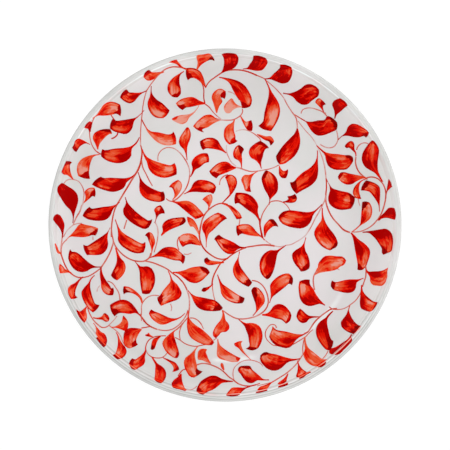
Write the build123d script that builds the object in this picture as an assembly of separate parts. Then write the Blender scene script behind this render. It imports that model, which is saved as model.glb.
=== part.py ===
"""A round earthenware dinner plate on a foot ring, glazed white all over but for the face it stands on.

The plate is one fired clay body with two separate coats of glaze.  The foot ring is wiped clean before the
glaze firing, which parts the coat into an upper one, over the eating face, the lip and the back, and a small
one inside the foot ring.

Frame: +Z up, origin on the plate's axis at the level of the foot ring's standing face.  Millimetres.
Sections are drawn on the XZ plane, X being the radius, and turned about Z.
"""

from build123d import *
import math
import os

# Driving dimensions, over the finished glaze.
RIM_DIAMETER = 270.0
PLATE_HEIGHT = 26.0
WELL_DIAMETER = 204.0  # flat floor that the food lies on
WELL_HEIGHT = 10.4  # eating face above the standing face
WALL_RUN = 5.4  # how far the short steep wall leans out, from its crease to the rim's edge
FLANK_RISE_ANGLE = 34.0  # degrees, slope of the flank where it meets the wall
GLAZE_THICKNESS = 0.4

# The clay itself.
FLANK_THICKNESS = 5.4  # clay under the rising flank
LIP_THICKNESS = 3.4  # clay across the round lip
CREASE_RADIUS = 1.8  # inside corner under the wall
SHOULDER_RADIUS = 5.0  # outside corner behind the crease

# The foot ring, turned from the leather-hard clay.
FOOT_DIAMETER = 152.0  # across the middle of the standing face
FOOT_WIDTH = 4.2  # standing face
FOOT_RECESS = 3.6  # depth of the recess inside the ring
FOOT_DRAFT = 14.0  # degrees, lean of the ring's two sides
FOOT_EDGE_RADIUS = 0.8
FOOT_ROOT_RADIUS = 2.0
WIPED_HEIGHT = 1.5  # bare clay above the standing face


def polar(centre, radius, degrees):
    """The point at that distance and angle from a centre in the section plane."""
    angle = math.radians(degrees)
    return (centre[0] + radius * math.cos(angle), centre[1] + radius * math.sin(angle))


def tangent_angle(start, centre, radius, side):
    """Direction, in degrees, of the line from start that touches a circle on one side (+1 left, -1 right)."""
    across, up = centre[0] - start[0], centre[1] - start[1]
    lean = math.degrees(math.asin(radius / math.hypot(across, up)))
    return math.degrees(math.atan2(up, across)) + side * lean


def clay_section():
    """Half section of the fired clay, from the axis to the lip."""
    well_radius = WELL_DIAMETER / 2
    well_top = WELL_HEIGHT - GLAZE_THICKNESS
    crease_radius = RIM_DIAMETER / 2 - WALL_RUN

    # The flank is an arc that leaves the flat well level and climbs to the crease.
    flank_radius = (crease_radius - well_radius) / math.sin(math.radians(FLANK_RISE_ANGLE))
    flank_centre = (well_radius, well_top + flank_radius)
    flank_end = FLANK_RISE_ANGLE - 90
    flank_middle = flank_end - FLANK_RISE_ANGLE / 2
    crease = polar(flank_centre, flank_radius, flank_end)
    shoulder = polar(flank_centre, flank_radius + FLANK_THICKNESS, flank_end)
    under_middle = polar(flank_centre, flank_radius + FLANK_THICKNESS, flank_middle)
    under_level = well_top - FLANK_THICKNESS

    # The lip is a round bead, and both faces of the wall run tangent to it.
    bead_radius = LIP_THICKNESS / 2
    bead = (
        RIM_DIAMETER / 2 - GLAZE_THICKNESS - bead_radius,
        PLATE_HEIGHT - GLAZE_THICKNESS - bead_radius,
    )
    inner_face = tangent_angle(crease, bead, bead_radius, 1)
    outer_face = tangent_angle(shoulder, bead, bead_radius, -1)
    bead_in = polar(bead, bead_radius, inner_face + 90)
    bead_top = polar(bead, bead_radius, (inner_face + outer_face) / 2)
    bead_out = polar(bead, bead_radius, outer_face - 90)

    # The foot ring leans inwards on both sides as it goes down.
    foot_out = (FOOT_DIAMETER + FOOT_WIDTH) / 2
    foot_in = (FOOT_DIAMETER - FOOT_WIDTH) / 2
    lean = math.tan(math.radians(FOOT_DRAFT))
    root_out = (foot_out + under_level * lean, under_level)
    root_in = (foot_in - FOOT_RECESS * lean, FOOT_RECESS)

    with BuildSketch(Plane.XZ) as section:
        with BuildLine():
            Line((0, well_top), (well_radius, well_top))
            ThreePointArc((well_radius, well_top), polar(flank_centre, flank_radius, flank_middle), crease)
            Line(crease, bead_in)
            ThreePointArc(bead_in, bead_top, bead_out)
            Line(bead_out, shoulder)
            ThreePointArc(shoulder, under_middle, (well_radius, under_level))
            Polyline(
                (well_radius, under_level),
                root_out,
                (foot_out, 0),
                (foot_in, 0),
                root_in,
                (0, FOOT_RECESS),
                (0, well_top),
            )
        make_face()
        for points, radius in (
            ([crease], CREASE_RADIUS),
            ([shoulder], SHOULDER_RADIUS),
            ([root_out, root_in], FOOT_ROOT_RADIUS),
            ([(foot_out, 0), (foot_in, 0)], FOOT_EDGE_RADIUS),
        ):
            fillet([corner_at(section, point) for point in points], radius)
    return section.sketch


def corner_at(section, point):
    """The section's corner nearest to a point of the section plane."""
    return section.vertices().sort_by_distance(Vector(point[0], point[1], 0))[0]


def glaze_sections(clay):
    """The two half sections of glaze: the clay's outline moved outwards, less the clay and the wiped foot."""
    reach = RIM_DIAMETER
    whole = clay + mirror(clay, about=Plane.YZ)
    coat = offset(whole, GLAZE_THICKNESS, kind=Kind.ARC) - whole
    with BuildSketch(Plane.XZ) as kept:
        with Locations((0, WIPED_HEIGHT)):
            Rectangle(reach, PLATE_HEIGHT, align=(Align.MIN, Align.MIN))
    coats = (coat & kept.sketch).faces().sort_by(Axis.X)
    return coats


def turned(section):
    """The ring or disc that a half section sweeps about the plate's axis."""
    return revolve(section, Axis.Z, 360)


def main():
    clay = clay_section()
    base_coat, upper_coat = glaze_sections(clay)
    os.makedirs("parts", exist_ok=True)
    for node, section in (
        ("clay_body", clay),
        ("upper_glaze", upper_coat),
        ("base_glaze", base_coat),
    ):
        export_step(turned(section), f"parts/{node}.step")


main()
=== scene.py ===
"""A white glazed dinner plate with a leafy vine brushed on it in red, dressed over its plain model.

The eating face, the lip, the back and the foot ring are profiles turned about the plate's axis.  The vine is
laid on the eating face as thin films of colour: every leaf is one brush stroke between two side lines, and
every stem is a narrow ribbon along its middle line.  Lengths are in millimetres until a mesh is made.
"""

import math

import bpy
import numpy as np
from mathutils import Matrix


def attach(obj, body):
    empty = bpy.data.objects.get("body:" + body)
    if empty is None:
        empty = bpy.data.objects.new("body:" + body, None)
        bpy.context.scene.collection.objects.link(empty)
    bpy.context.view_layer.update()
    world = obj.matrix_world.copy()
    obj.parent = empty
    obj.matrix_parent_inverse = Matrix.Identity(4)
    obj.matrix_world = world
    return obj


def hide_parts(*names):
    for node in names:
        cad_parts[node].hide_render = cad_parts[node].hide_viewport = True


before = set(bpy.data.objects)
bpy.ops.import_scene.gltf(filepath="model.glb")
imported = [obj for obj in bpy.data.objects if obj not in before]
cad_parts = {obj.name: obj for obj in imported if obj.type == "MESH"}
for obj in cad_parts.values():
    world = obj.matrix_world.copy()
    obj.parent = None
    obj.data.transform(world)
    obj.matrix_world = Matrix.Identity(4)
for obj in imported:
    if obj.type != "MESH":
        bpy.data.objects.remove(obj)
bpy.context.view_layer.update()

# The plate's own sizes.
RIM_RADIUS = 134.999  # a hair inside the plain model's
PLATE_HEIGHT = 26.0
WELL_RADIUS = 102.0
WELL_LEVEL = 10.4
UNDER_LEVEL = 4.2
WALL_RUN = 5.4
FLANK_RISE = math.radians(34.0)
FLANK_THICKNESS = 5.4
GLAZE_THICKNESS = 0.4
LIP_RADIUS = 2.1
CREASE_RADIUS = 1.4
SHOULDER_RADIUS = 5.4
FOOT_OUTER, FOOT_INNER = 78.1, 73.9
FOOT_RECESS = 3.6
FOOT_DRAFT = math.radians(14.0)
FOOT_EDGE_RADIUS = 0.8
FOOT_ROOT_RADIUS = 2.0
WIPED_HEIGHT = 1.5

# How the plate is made by hand: slow waves round it, and fine rings left by the thrower's rib near the wall.
WAVE_DEPTH = 0.10
WAVE_START = 85.0
WAVES = ((0.3, 2, 0.7), (0.2, 3, 2.1))  # each one's share, its number round the plate, its turn
RING_DEPTH = 0.016
RING_PITCH = 1.45
RING_FIRST, RING_LAST = 124.5, 129.0
BASE_RING_DEPTH, BASE_PITCH, BASE_RINGS_OUT = 0.07, 5.2, 68.0  # the trimming spiral inside the foot ring
TURNED_STEPS = 384  # facets round the plate
FACE_DETAIL, BASE_DETAIL = 30, 5  # how many times more points a profile gets where it is drawn finer

# The films of colour.
FILM = 0.03  # thickness of the colour under its own gloss
RIM_FILM = 0.055  # the same where a stroke climbs the steep wall
STEM_FILM = 0.018
FILM_STEP, FILM_STEPS = 0.0015, 16  # each film stands a step higher than the last, in rounds of so many
SLOPE_STEP = 0.02  # over which the eating face's slope is taken
NEAR_NOTHING = 1e-9  # keeps a division from failing where a stroke's point has no width

# The strokes, in the layout's squares.
RIM_STROKES_FROM = 122.0  # millimetres; strokes that reach further out than this get a finer mesh
STROKE_GRID, RIM_STROKE_GRID = (17, 8), (40, 18)  # points along and across a leaf
NECK_HALF_WIDTH, LEAF_SPREAD = 0.24, 0.2  # how far a leaf's sides are let out at its neck and beyond
TIP_FROM, TIP_BULGE = 0.6, 0.2  # share of the leaf where its tip starts, and its roundness in half widths
STATIONS = np.linspace(0, 1, 5)  # where a leaf's middle line is measured
DROP_LENGTH, DROP_GROWTH = 1.7, 0.25  # length of the drop at a leaf's end, and what each mark of pool adds
DROP_SHORTEST, DROP_LONGEST = 0.07, 0.4  # the same in shares of the leaf
STEM_SPREAD = 0.85  # how much of its laid-out width a stem covers
STEM_STEP, STEM_ROWS, STEM_ACROSS = 1.3, 4, 3  # one row of points each step, the fewest rows, points in a row

# What the layout's marks from 0 to 9 stand for.
FULL_POOL, POOL_CURVE = 9, 1.6  # the mark at which a drop is as dark as it gets, and how late it darkens
LEAF_PALEST, LEAF_STEP = 0.112, 0.09  # depth of colour at 0, and what each mark adds
WATER_STEP = 0.09
STEM_PALEST, STEM_DEEPER = 0.06, 0.07

# The camera, and the squares that the painting is laid out on as seen from it.
LENS = 85.0
SENSOR = 36.0
EYE_HEIGHT = 836.1
GRID_SQUARES = 450
GRID_CENTRE = (225.0, 225.0)
HEIGHT_ROUNDS = 6  # in which a square's place settles on the curved face
NEAREST, FURTHEST = 0.01, 50.0  # metres that the camera sees between

# The room.
FLOOR_HALF = 4.0  # metres
FLOOR_WHITE, FLOOR_ROUGHNESS = (226, 226, 226), 0.9
FLOOR_GLOW, GLOW_STRENGTH = 0.85, 1.08  # how much of the floor shines by itself where it is looked at
TENT_WHITE = (255, 255, 255)
TENT_FOOT, TENT_SIDE, TENT_TOP = 1.0, 2.02, 0.05  # strength of the pale tent near the floor, around, overhead
TENT_RISE, TENT_FALL = (0.05, 0.25), (0.45, 0.95)  # heights that it changes between, straight up being 1
LAMP_PLACE, LAMP_SIZE, LAMP_POWER = (1.7, 1.1, 1.5), 1.6, 5.5  # metres, metres, watts
MM = 0.001
rng = np.random.default_rng(7)


def arc(centre, radius, start, end, count):
    """Points along a circle: centre plus radius times the cosine and sine of evenly spaced angles."""
    angle = np.linspace(start, end, count)
    return np.stack([centre[0] + radius * np.cos(angle), centre[1] + radius * np.sin(angle)], axis=1)


def run(start, end, count):
    """Points evenly spaced along a straight line."""
    share = np.linspace(0, 1, count)[:, None]
    return (1 - share) * np.array(start) + share * np.array(end)


def unit(angle):
    """The direction at an angle."""
    return np.array([math.cos(angle), math.sin(angle)])


def touching(start, centre, radius, side):
    """Angle of the line from start that touches a circle: its centre's bearing turned by asin(r / d)."""
    across, up = centre[0] - start[0], centre[1] - start[1]
    return math.atan2(up, across) + side * math.asin(radius / math.hypot(across, up))


def nestled(corner, direction, circle, reach, radius):
    """Centre of a fillet: on the line set off from a face by the radius, at the given reach from a circle."""
    start = corner + radius * unit(direction + QUARTER)
    away = start - circle
    half = away @ unit(direction)
    return start - unit(direction) * (half + math.sqrt(half * half - away @ away + reach * reach))


def bearing(centre, point):
    """Angle from a centre to a point."""
    return math.atan2(point[1] - centre[1], point[0] - centre[0])


QUARTER = math.pi / 2
FLANK_CLAY = (RIM_RADIUS - WALL_RUN - WELL_RADIUS) / math.sin(FLANK_RISE)
FLANK_CENTRE = np.array([WELL_RADIUS, WELL_LEVEL - GLAZE_THICKNESS + FLANK_CLAY])
FLANK_OUT = np.array([math.sin(FLANK_RISE), -math.cos(FLANK_RISE)])
CREASE = FLANK_CENTRE + FLANK_CLAY * FLANK_OUT
SHOULDER = FLANK_CENTRE + (FLANK_CLAY + FLANK_THICKNESS) * FLANK_OUT
LIP = np.array([RIM_RADIUS - LIP_RADIUS, PLATE_HEIGHT - LIP_RADIUS])
LIP_CLAY = LIP_RADIUS - GLAZE_THICKNESS
WALL_IN = touching(CREASE, LIP, LIP_CLAY, 1)
WALL_OUT = touching(SHOULDER, LIP, LIP_CLAY, -1)
CREASE_CLAY = CREASE_RADIUS + GLAZE_THICKNESS
CREASE_CENTRE = nestled(CREASE, WALL_IN, FLANK_CENTRE, FLANK_CLAY - CREASE_CLAY, CREASE_CLAY)
SHOULDER_CLAY = SHOULDER_RADIUS - GLAZE_THICKNESS
SHOULDER_REACH = FLANK_CLAY + FLANK_THICKNESS - SHOULDER_CLAY
SHOULDER_CENTRE = nestled(SHOULDER, WALL_OUT, FLANK_CENTRE, SHOULDER_REACH, SHOULDER_CLAY)


def eating_face(coat, detail):
    """Half section over the eating face: flat well, flank arc, crease fillet, straight wall, half the lip.
    Here and in the next three, detail multiplies the number of points on each stretch."""
    crease, lip = CREASE_CLAY - coat, LIP_CLAY + coat
    crease_start = bearing(FLANK_CENTRE, CREASE_CENTRE)
    wall_start = CREASE_CENTRE + crease * unit(WALL_IN - QUARTER)
    wall_end = LIP + lip * unit(WALL_IN + QUARTER)
    floor_level = WELL_LEVEL - GLAZE_THICKNESS + coat
    return np.concatenate([
        run((0, floor_level), (WELL_RADIUS, floor_level), 1 + 24 * detail)[:-1],
        arc(FLANK_CENTRE, FLANK_CLAY - coat, -QUARTER, crease_start, 1 + 42 * detail)[:-1],
        arc(CREASE_CENTRE, crease, crease_start, WALL_IN - QUARTER, 1 + 10 * detail)[:-1],
        run(wall_start, wall_end, 1 + 12 * detail)[:-1],
        arc(LIP, lip, WALL_IN + QUARTER, QUARTER, 1 + 10 * detail),
    ])


def back_face(coat, detail):
    """Half section from the lip's top down the wall, the shoulder and under the flank to the wiped line."""
    lip, shoulder = LIP_CLAY + coat, SHOULDER_CLAY + coat
    wall_start = LIP + lip * unit(WALL_OUT - QUARTER)
    wall_end = SHOULDER_CENTRE + shoulder * unit(WALL_OUT - QUARTER)
    shoulder_end = bearing(FLANK_CENTRE, SHOULDER_CENTRE)
    under = FLANK_CLAY + FLANK_THICKNESS + coat
    under_level = UNDER_LEVEL + GLAZE_THICKNESS - coat
    root_level = UNDER_LEVEL + GLAZE_THICKNESS - FOOT_ROOT_RADIUS
    side = np.array([math.sin(FOOT_DRAFT), math.cos(FOOT_DRAFT)])
    out = np.array([math.cos(FOOT_DRAFT), -math.sin(FOOT_DRAFT)])
    root = np.array([FOOT_OUTER, 0]) + FOOT_ROOT_RADIUS * out
    root = root + side * (root_level - root[1]) / side[1]
    root_radius = FOOT_ROOT_RADIUS - coat
    side_end = root - root_radius * out
    wiped = side_end - side * (side_end[1] - WIPED_HEIGHT) / side[1]
    return np.concatenate([
        arc(LIP, lip, QUARTER, WALL_OUT - QUARTER, 1 + 12 * detail)[1:],
        run(wall_start, wall_end, 1 + 4 * detail)[1:],
        arc(SHOULDER_CENTRE, shoulder, WALL_OUT - QUARTER, shoulder_end, 1 + 8 * detail)[1:],
        arc(FLANK_CENTRE, under, shoulder_end, -QUARTER, 1 + 16 * detail)[1:],
        run((WELL_RADIUS, under_level), (root[0], under_level), 1 + 4 * detail)[1:],
        arc(root, root_radius, QUARTER, math.pi - FOOT_DRAFT, 1 + 6 * detail)[1:],
        run(side_end, wiped, 1 + 2 * detail)[1:],
    ])


def foot_recess(coat, detail):
    """Half section inside the foot ring: from the wiped line up its side, round the root, to the axis."""
    level = FOOT_RECESS - FOOT_ROOT_RADIUS
    side = np.array([-math.sin(FOOT_DRAFT), math.cos(FOOT_DRAFT)])
    inward = np.array([-math.cos(FOOT_DRAFT), -math.sin(FOOT_DRAFT)])
    root = np.array([FOOT_INNER, 0]) + FOOT_ROOT_RADIUS * inward
    root = root + side * (level - root[1]) / side[1]
    root_radius = FOOT_ROOT_RADIUS - coat
    side_end = root - root_radius * inward
    wiped = side_end + side * (WIPED_HEIGHT - side_end[1]) / side[1]
    return np.concatenate([
        run(wiped, side_end, 1 + 2 * detail)[:-1],
        arc(root, root_radius, FOOT_DRAFT, QUARTER, 1 + 6 * detail)[:-1],
        run((root[0], FOOT_RECESS - coat), (0, FOOT_RECESS - coat), 1 + 18 * detail),
    ])


def standing_face(detail):
    """Half section of the bare foot ring between its two wiped lines: leaning sides and rounded edges."""
    lean = WIPED_HEIGHT * math.tan(FOOT_DRAFT)
    tuck = FOOT_EDGE_RADIUS * math.tan((QUARTER - FOOT_DRAFT) / 2)
    outer = np.array([FOOT_OUTER - tuck, FOOT_EDGE_RADIUS])
    inner = np.array([FOOT_INNER + tuck, FOOT_EDGE_RADIUS])
    out, inward = -FOOT_DRAFT, FOOT_DRAFT - math.pi
    outer_side = outer + FOOT_EDGE_RADIUS * unit(out)
    inner_side = inner + FOOT_EDGE_RADIUS * unit(inward)
    return np.concatenate([
        run((FOOT_OUTER + lean, WIPED_HEIGHT), outer_side, 1 + 2 * detail)[:-1],
        arc(outer, FOOT_EDGE_RADIUS, out, -QUARTER, 1 + 5 * detail),
        run((outer[0], 0), (inner[0], 0), 1 + 6 * detail)[1:-1],
        arc(inner, FOOT_EDGE_RADIUS, -QUARTER, inward, 1 + 5 * detail),
        run(inner_side, (FOOT_INNER - lean, WIPED_HEIGHT), 1 + 2 * detail)[1:],
    ])


def add_piece(name, points, faces, material, node=None):
    """A smooth-shaded piece from points in millimetres, riding on the plate's one body."""
    mesh = bpy.data.meshes.new(name)
    mesh.from_pydata((points * MM).tolist(), [], faces)
    mesh.polygons.foreach_set("use_smooth", np.ones(len(faces), bool))
    mesh.materials.append(material)
    mesh.update()
    piece = bpy.data.objects.new(name, mesh)
    bpy.context.scene.collection.objects.link(piece)
    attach(piece, "root")
    if node:
        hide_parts(node)
    return piece


def turned_piece(name, profile, material, node, shift):
    """A closed solid: every profile point between two on the axis swept round it, in facets, then shifted."""
    angle = np.linspace(0, 2 * np.pi, TURNED_STEPS, endpoint=False)
    ring = np.stack([np.cos(angle), np.sin(angle)], axis=1)
    middle = profile[1:-1]
    around = middle[:, None, 0, None] * ring[None]
    level = np.broadcast_to(middle[:, None, 1, None], around.shape[:2] + (1,))
    grid = np.concatenate([around, level], axis=2).reshape(-1, 3)
    poles = np.array([[0, 0, profile[0, 1]], [0, 0, profile[-1, 1]]])
    points = shift(np.concatenate([grid, poles]))
    here = np.arange(len(middle) * TURNED_STEPS).reshape(len(middle), TURNED_STEPS)
    beside = np.roll(here, -1, axis=1)
    quads = np.stack([here[:-1], here[1:], beside[1:], beside[:-1]], axis=-1).reshape(-1, 4)
    first, last = len(grid), len(grid) + 1
    top = np.stack([np.full(TURNED_STEPS, first), here[0], beside[0]], axis=1)
    foot = np.stack([np.full(TURNED_STEPS, last), beside[-1], here[-1]], axis=1)
    add_piece(name, points, quads.tolist() + top.tolist() + foot.tolist(), material, node)


def wave_drop(x, y):
    """How far the drying plate has sunk: cosines of the angle round it, growing as the square of the share of
    the way from where they start to the rim."""
    angle = np.arctan2(y, x)
    share = np.clip((np.hypot(x, y) - WAVE_START) / (RIM_RADIUS - WAVE_START), 0, 1) ** 2
    waves = sum(part * np.cos(number * angle + turn) for part, number, turn in WAVES)
    return WAVE_DEPTH * share * (0.5 + waves)


def thrown_rings(radius):
    """Fine rings below the wall: a cosine of the radius, fading in and out over the zone they lie in."""
    middle, half = (RING_FIRST + RING_LAST) / 2, (RING_LAST - RING_FIRST) / 2
    fade = np.clip(1 - ((radius - middle) / half) ** 2, 0, 1)
    return RING_DEPTH * fade * np.cos(2 * np.pi * radius / RING_PITCH)


FACE = eating_face(GLAZE_THICKNESS, FACE_DETAIL)


def face_height(x, y):
    """Level of the glaze on the eating face: its half section read at the radius, with rings and waves."""
    radius = np.hypot(x, y)
    return np.interp(radius, FACE[:, 0], FACE[:, 1]) + thrown_rings(radius) - wave_drop(x, y)


def face_normal(x, y):
    """Upright direction of the eating face, from differences of its height over a small step each way."""
    across = (face_height(x + SLOPE_STEP, y) - face_height(x - SLOPE_STEP, y)) / (2 * SLOPE_STEP)
    up = (face_height(x, y + SLOPE_STEP) - face_height(x, y - SLOPE_STEP)) / (2 * SLOPE_STEP)
    normal = np.stack([-across, -up, np.ones_like(x)], axis=-1)
    return normal / np.linalg.norm(normal, axis=-1, keepdims=True)


def sunk(points):
    """The plate's points with the slow waves taken off their height."""
    points[:, 2] -= wave_drop(points[:, 0], points[:, 1])
    return points


def sunk_and_ringed(points):
    """The same, and the thrown rings added where a point lies on the eating face."""
    radius = np.hypot(points[:, 0], points[:, 1])
    on_face = np.abs(points[:, 2] - np.interp(radius, FACE[:, 0], FACE[:, 1])) < GLAZE_THICKNESS / 4
    points[:, 2] += np.where(on_face, thrown_rings(radius), 0)
    return sunk(points)


def turned_base(points):
    """The base's points, with the trimming tool's rings under the glaze inside the foot: a cosine of the
    radius less a share of a turn, so that the rings run as one spiral, fading out before the foot's root."""
    radius = np.hypot(points[:, 0], points[:, 1])
    turn = np.arctan2(points[:, 1], points[:, 0]) / (2 * np.pi)
    under = points[:, 2] < FOOT_RECESS - GLAZE_THICKNESS / 2
    fade = np.clip((BASE_RINGS_OUT - radius) / BASE_PITCH, 0, 1) * np.clip(radius / BASE_PITCH, 0, 1)
    rings = BASE_RING_DEPTH * fade * np.cos(2 * np.pi * (radius / BASE_PITCH - turn))
    points[:, 2] += np.where(under, rings, 0)
    return sunk(points)


def on_plate(squares):
    """Plate positions of grid points: their offset from the middle, times the size that a square has at the
    glaze's height under the eye, found in a few rounds because the height follows the radius."""
    offset = (np.asarray(squares, float) - GRID_CENTRE) * (1, -1)
    size = SENSOR / LENS / GRID_SQUARES
    level = np.full(offset.shape[:-1], WELL_LEVEL)
    for _ in range(HEIGHT_ROUNDS):
        placed = offset * ((EYE_HEIGHT - level) * size)[..., None]
        level = face_height(placed[..., 0], placed[..., 1])
    return placed


def smooth_line(row, stations):
    """Smooth curve through points (x, y, x, y, ...): cubic pieces whose directions are the chords on both
    sides of a point blended by length, read at shares of the whole length."""
    points = np.array(row, float).reshape(-1, 2)
    gap = np.linalg.norm(np.diff(points, axis=0), axis=1)
    knot = np.concatenate([[0], np.cumsum(gap)])
    chord = np.diff(points, axis=0) / gap[:, None]
    if len(chord) == 1:
        heading = chord[[0, 0]]
    else:
        near, far = gap[:-1, None], gap[1:, None]
        inner = (chord[:-1] * far + chord[1:] * near) / (near + far)
        first = 1.5 * chord[0] - 0.5 * inner[0]
        last = 1.5 * chord[-1] - 0.5 * inner[-1]
        heading = np.concatenate([[first], inner, [last]])
    place = stations * knot[-1]
    k = np.clip(np.searchsorted(knot, place, side="right") - 1, 0, len(gap) - 1)
    s, step = ((place - knot[k]) / gap[k])[:, None], gap[k][:, None]
    start = points[k] * (1 + 2 * s) * (1 - s) ** 2 + step * heading[k] * s * (1 - s) ** 2
    return start + points[k + 1] * s * s * (3 - 2 * s) + step * heading[k + 1] * s * s * (s - 1)


def stroke_grid(side_a, side_b, long, wide):
    """Layout points of a leaf: each row runs straight from one side line to the other; both are let out, by a
    hair at the neck and by the spread of the wet brush beyond, and the tip is pushed out as 4 v (1 - v)."""
    along, across = np.linspace(0, 1, long), np.linspace(0, 1, wide)
    a, b = smooth_line(side_a, along), smooth_line(side_b, along)
    middle, half = (a + b) / 2, (b - a) / 2
    heading = np.gradient(middle, axis=0)
    normal = np.stack([-heading[:, 1], heading[:, 0]], axis=1)
    normal /= np.linalg.norm(normal, axis=1, keepdims=True) + NEAR_NOTHING
    side = np.sign(np.sum(half[long // 2] * normal[long // 2])) or 1.0
    neck = ((1 - along) ** 3)[:, None]
    half = half + side * normal * (NECK_HALF_WIDTH * neck + LEAF_SPREAD * (1 - neck))
    grid = middle[:, None] + half[:, None] * (2 * across - 1)[None, :, None]
    forward = middle[-1] - middle[-3]
    forward = forward / (np.linalg.norm(forward) + NEAR_NOTHING)
    tip = np.clip((along - TIP_FROM) / (1 - TIP_FROM), 0, 1)[:, None] ** 2
    push = TIP_BULGE * np.linalg.norm(half[-1]) * tip
    return grid + (push * 4 * (across * (1 - across))[None])[..., None] * forward


def film_sheets(grid, stand):
    """One film's place on the plate, its upper and lower sheet, each as far off the glaze along its normal,
    and the sheets' normals."""
    place = on_plate(grid)
    x, y = place[..., 0], place[..., 1]
    up = face_normal(x, y)
    base = np.concatenate([place, face_height(x, y)[..., None]], axis=-1)
    return place, np.stack([base + up * stand, base - up * stand]), np.stack([up, -up])


def film_faces(index, place):
    """Faces of one film from its point numbers: both sheets and the narrow edge that closes them all round,
    each turned outwards whichever way the layout's rows run."""
    long, wide = place.shape[:2]
    turn = np.cross(place[long // 2, -1] - place[long // 2, 0], place[-1, wide // 2] - place[0, wide // 2])
    order = slice(None) if turn > 0 else slice(None, None, -1)
    faces = []
    for sheet, flip in ((0, 1), (1, -1)):
        s = index[sheet]
        quads = np.stack([s[:-1, :-1], s[:-1, 1:], s[1:, 1:], s[1:, :-1]], axis=-1).reshape(-1, 4)
        faces.append(quads[:, order][:, ::flip])
    rim = [index[:, 0, :-1], index[:, :-1, -1], index[:, -1, :0:-1], index[:, :0:-1, 0]]
    rim = np.concatenate(rim, axis=1)
    after = np.roll(rim, -1, axis=1)
    faces.append(np.stack([rim[0], rim[1], after[1], after[0]], axis=-1)[:, order])
    return np.concatenate(faces)


def film_mesh(grids, film, marks):
    """Joins closed films, one for each grid of layout points: the upper sheet stands off the glaze and the
    lower one is as far under it.  Each film stands a step higher than the one before, so that two which cross
    never share a face."""
    points, faces, normals, uvs, values, count = [], [], [], [], [], 0
    for number, (grid, mark) in enumerate(zip(grids, marks)):
        long, wide = grid.shape[:2]
        place, sheets, ups = film_sheets(grid, film + FILM_STEP * (number % FILM_STEPS))
        faces.append(film_faces(np.arange(2 * long * wide).reshape(2, long, wide) + count, place))
        points.append(sheets.reshape(-1, 3))
        normals.append(ups.reshape(-1, 3))
        u, v = np.meshgrid(np.linspace(0, 1, long), np.linspace(0, 1, wide), indexing="ij")
        uvs.append(np.tile(np.stack([u, v], axis=-1).reshape(-1, 2), (2, 1)))
        values.append(np.tile(mark, (2 * long * wide, 1)))
        count += 2 * long * wide
    return [np.concatenate(part) for part in (points, faces, normals, uvs, values)]


def painted_piece(name, grids, marks, film, names, material):
    """The films as one piece, with each stroke's marks and its place along and across it kept for the colour.
    """
    points, faces, normals, uvs, values = film_mesh(grids, film, marks)
    mesh = add_piece(name, points, faces.tolist(), material).data
    corners = np.empty(len(mesh.loops), np.int64)
    mesh.loops.foreach_get("vertex_index", corners)
    layer = mesh.uv_layers.new(name="stroke")
    layer.data.foreach_set("uv", uvs[corners].ravel())
    for column, mark in enumerate(names):
        attribute = mesh.attributes.new(mark, "FLOAT", "POINT")
        attribute.data.foreach_set("value", values[:, column].astype(np.float32))
    mesh.normals_split_custom_set_from_vertices(normals.tolist())


def new_material(name):
    """An empty node material and its shader."""
    material = bpy.data.materials.new(name)
    material.use_nodes = True
    return material, material.node_tree, material.node_tree.nodes["Principled BSDF"]


def node(tree, kind, inputs=None, **settings):
    """A node with its settings made and each input either given a value or fed from another node's output."""
    made = tree.nodes.new(kind)
    for name, value in settings.items():
        setattr(made, name, value)
    for socket, value in (inputs or {}).items():
        if isinstance(value, bpy.types.NodeSocket):
            tree.links.new(value, made.inputs[socket])
        else:
            made.inputs[socket].default_value = value
    return made


def calc(tree, operation, *values, clamp=False):
    """The output of one arithmetic node."""
    inputs = dict(enumerate(values))
    return node(tree, "ShaderNodeMath", inputs, operation=operation, use_clamp=clamp).outputs[0]


def product(tree, first, *others):
    """All the values multiplied."""
    for value in others:
        first = calc(tree, "MULTIPLY", first, value)
    return first


def heaped(tree, base, *parts, clamp=False):
    """The base, and each part's value times its amount added to it; the last sum may be held from 0 to 1."""
    for number, (value, amount) in enumerate(parts, 1):
        base = calc(tree, "MULTIPLY_ADD", value, amount, base, clamp=clamp and number == len(parts))
    return base


def between(tree, share, start, end):
    """A value that goes evenly from start to end as the share goes from nothing to one."""
    return heaped(tree, start, (share, end - start))


def centred(tree, value):
    """A value from 0 to 1 as its distance from the middle, one way or the other."""
    return calc(tree, "SUBTRACT", value, 0.5)


def rest_of(tree, value):
    """What a value leaves of one."""
    return calc(tree, "SUBTRACT", 1.0, value)


def ramp_up(tree, value, low, high, start=0.0, end=1.0):
    """Smooth rise of a value from start to end as it passes from low to high."""
    inputs = {"Value": value, "From Min": low, "From Max": high, "To Min": start, "To Max": end}
    return node(tree, "ShaderNodeMapRange", inputs, interpolation_type="SMOOTHSTEP").outputs["Result"]


def band(tree, value, middle, half):
    """One at the middle value, falling smoothly to nothing at half the width to each side."""
    return ramp_up(tree, calc(tree, "ABSOLUTE", calc(tree, "SUBTRACT", value, middle)), 0.0, half, 1.0, 0.0)


def noise(tree, vector, scale, detail=3.0, roughness=0.5):
    """The grey output of a noise pattern."""
    inputs = {"Vector": vector, "Scale": scale, "Detail": detail, "Roughness": roughness}
    return node(tree, "ShaderNodeTexNoise", inputs).outputs[0]


def object_place(tree):
    """A point's place on the plate, in metres from the foot's middle."""
    return node(tree, "ShaderNodeTexCoord").outputs["Object"]


def parts_of(tree, vector):
    """The three numbers of a vector."""
    return node(tree, "ShaderNodeSeparateXYZ", {0: vector}).outputs


def vector_of(tree, x, y, z):
    """A vector from three numbers."""
    return node(tree, "ShaderNodeCombineXYZ", {0: x, 1: y, 2: z}).outputs[0]


def vector_times(tree, vector, by):
    """A vector or colour with each of its three numbers multiplied by another's."""
    return node(tree, "ShaderNodeVectorMath", {0: vector, 1: by}, operation="MULTIPLY").outputs[0]


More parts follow.
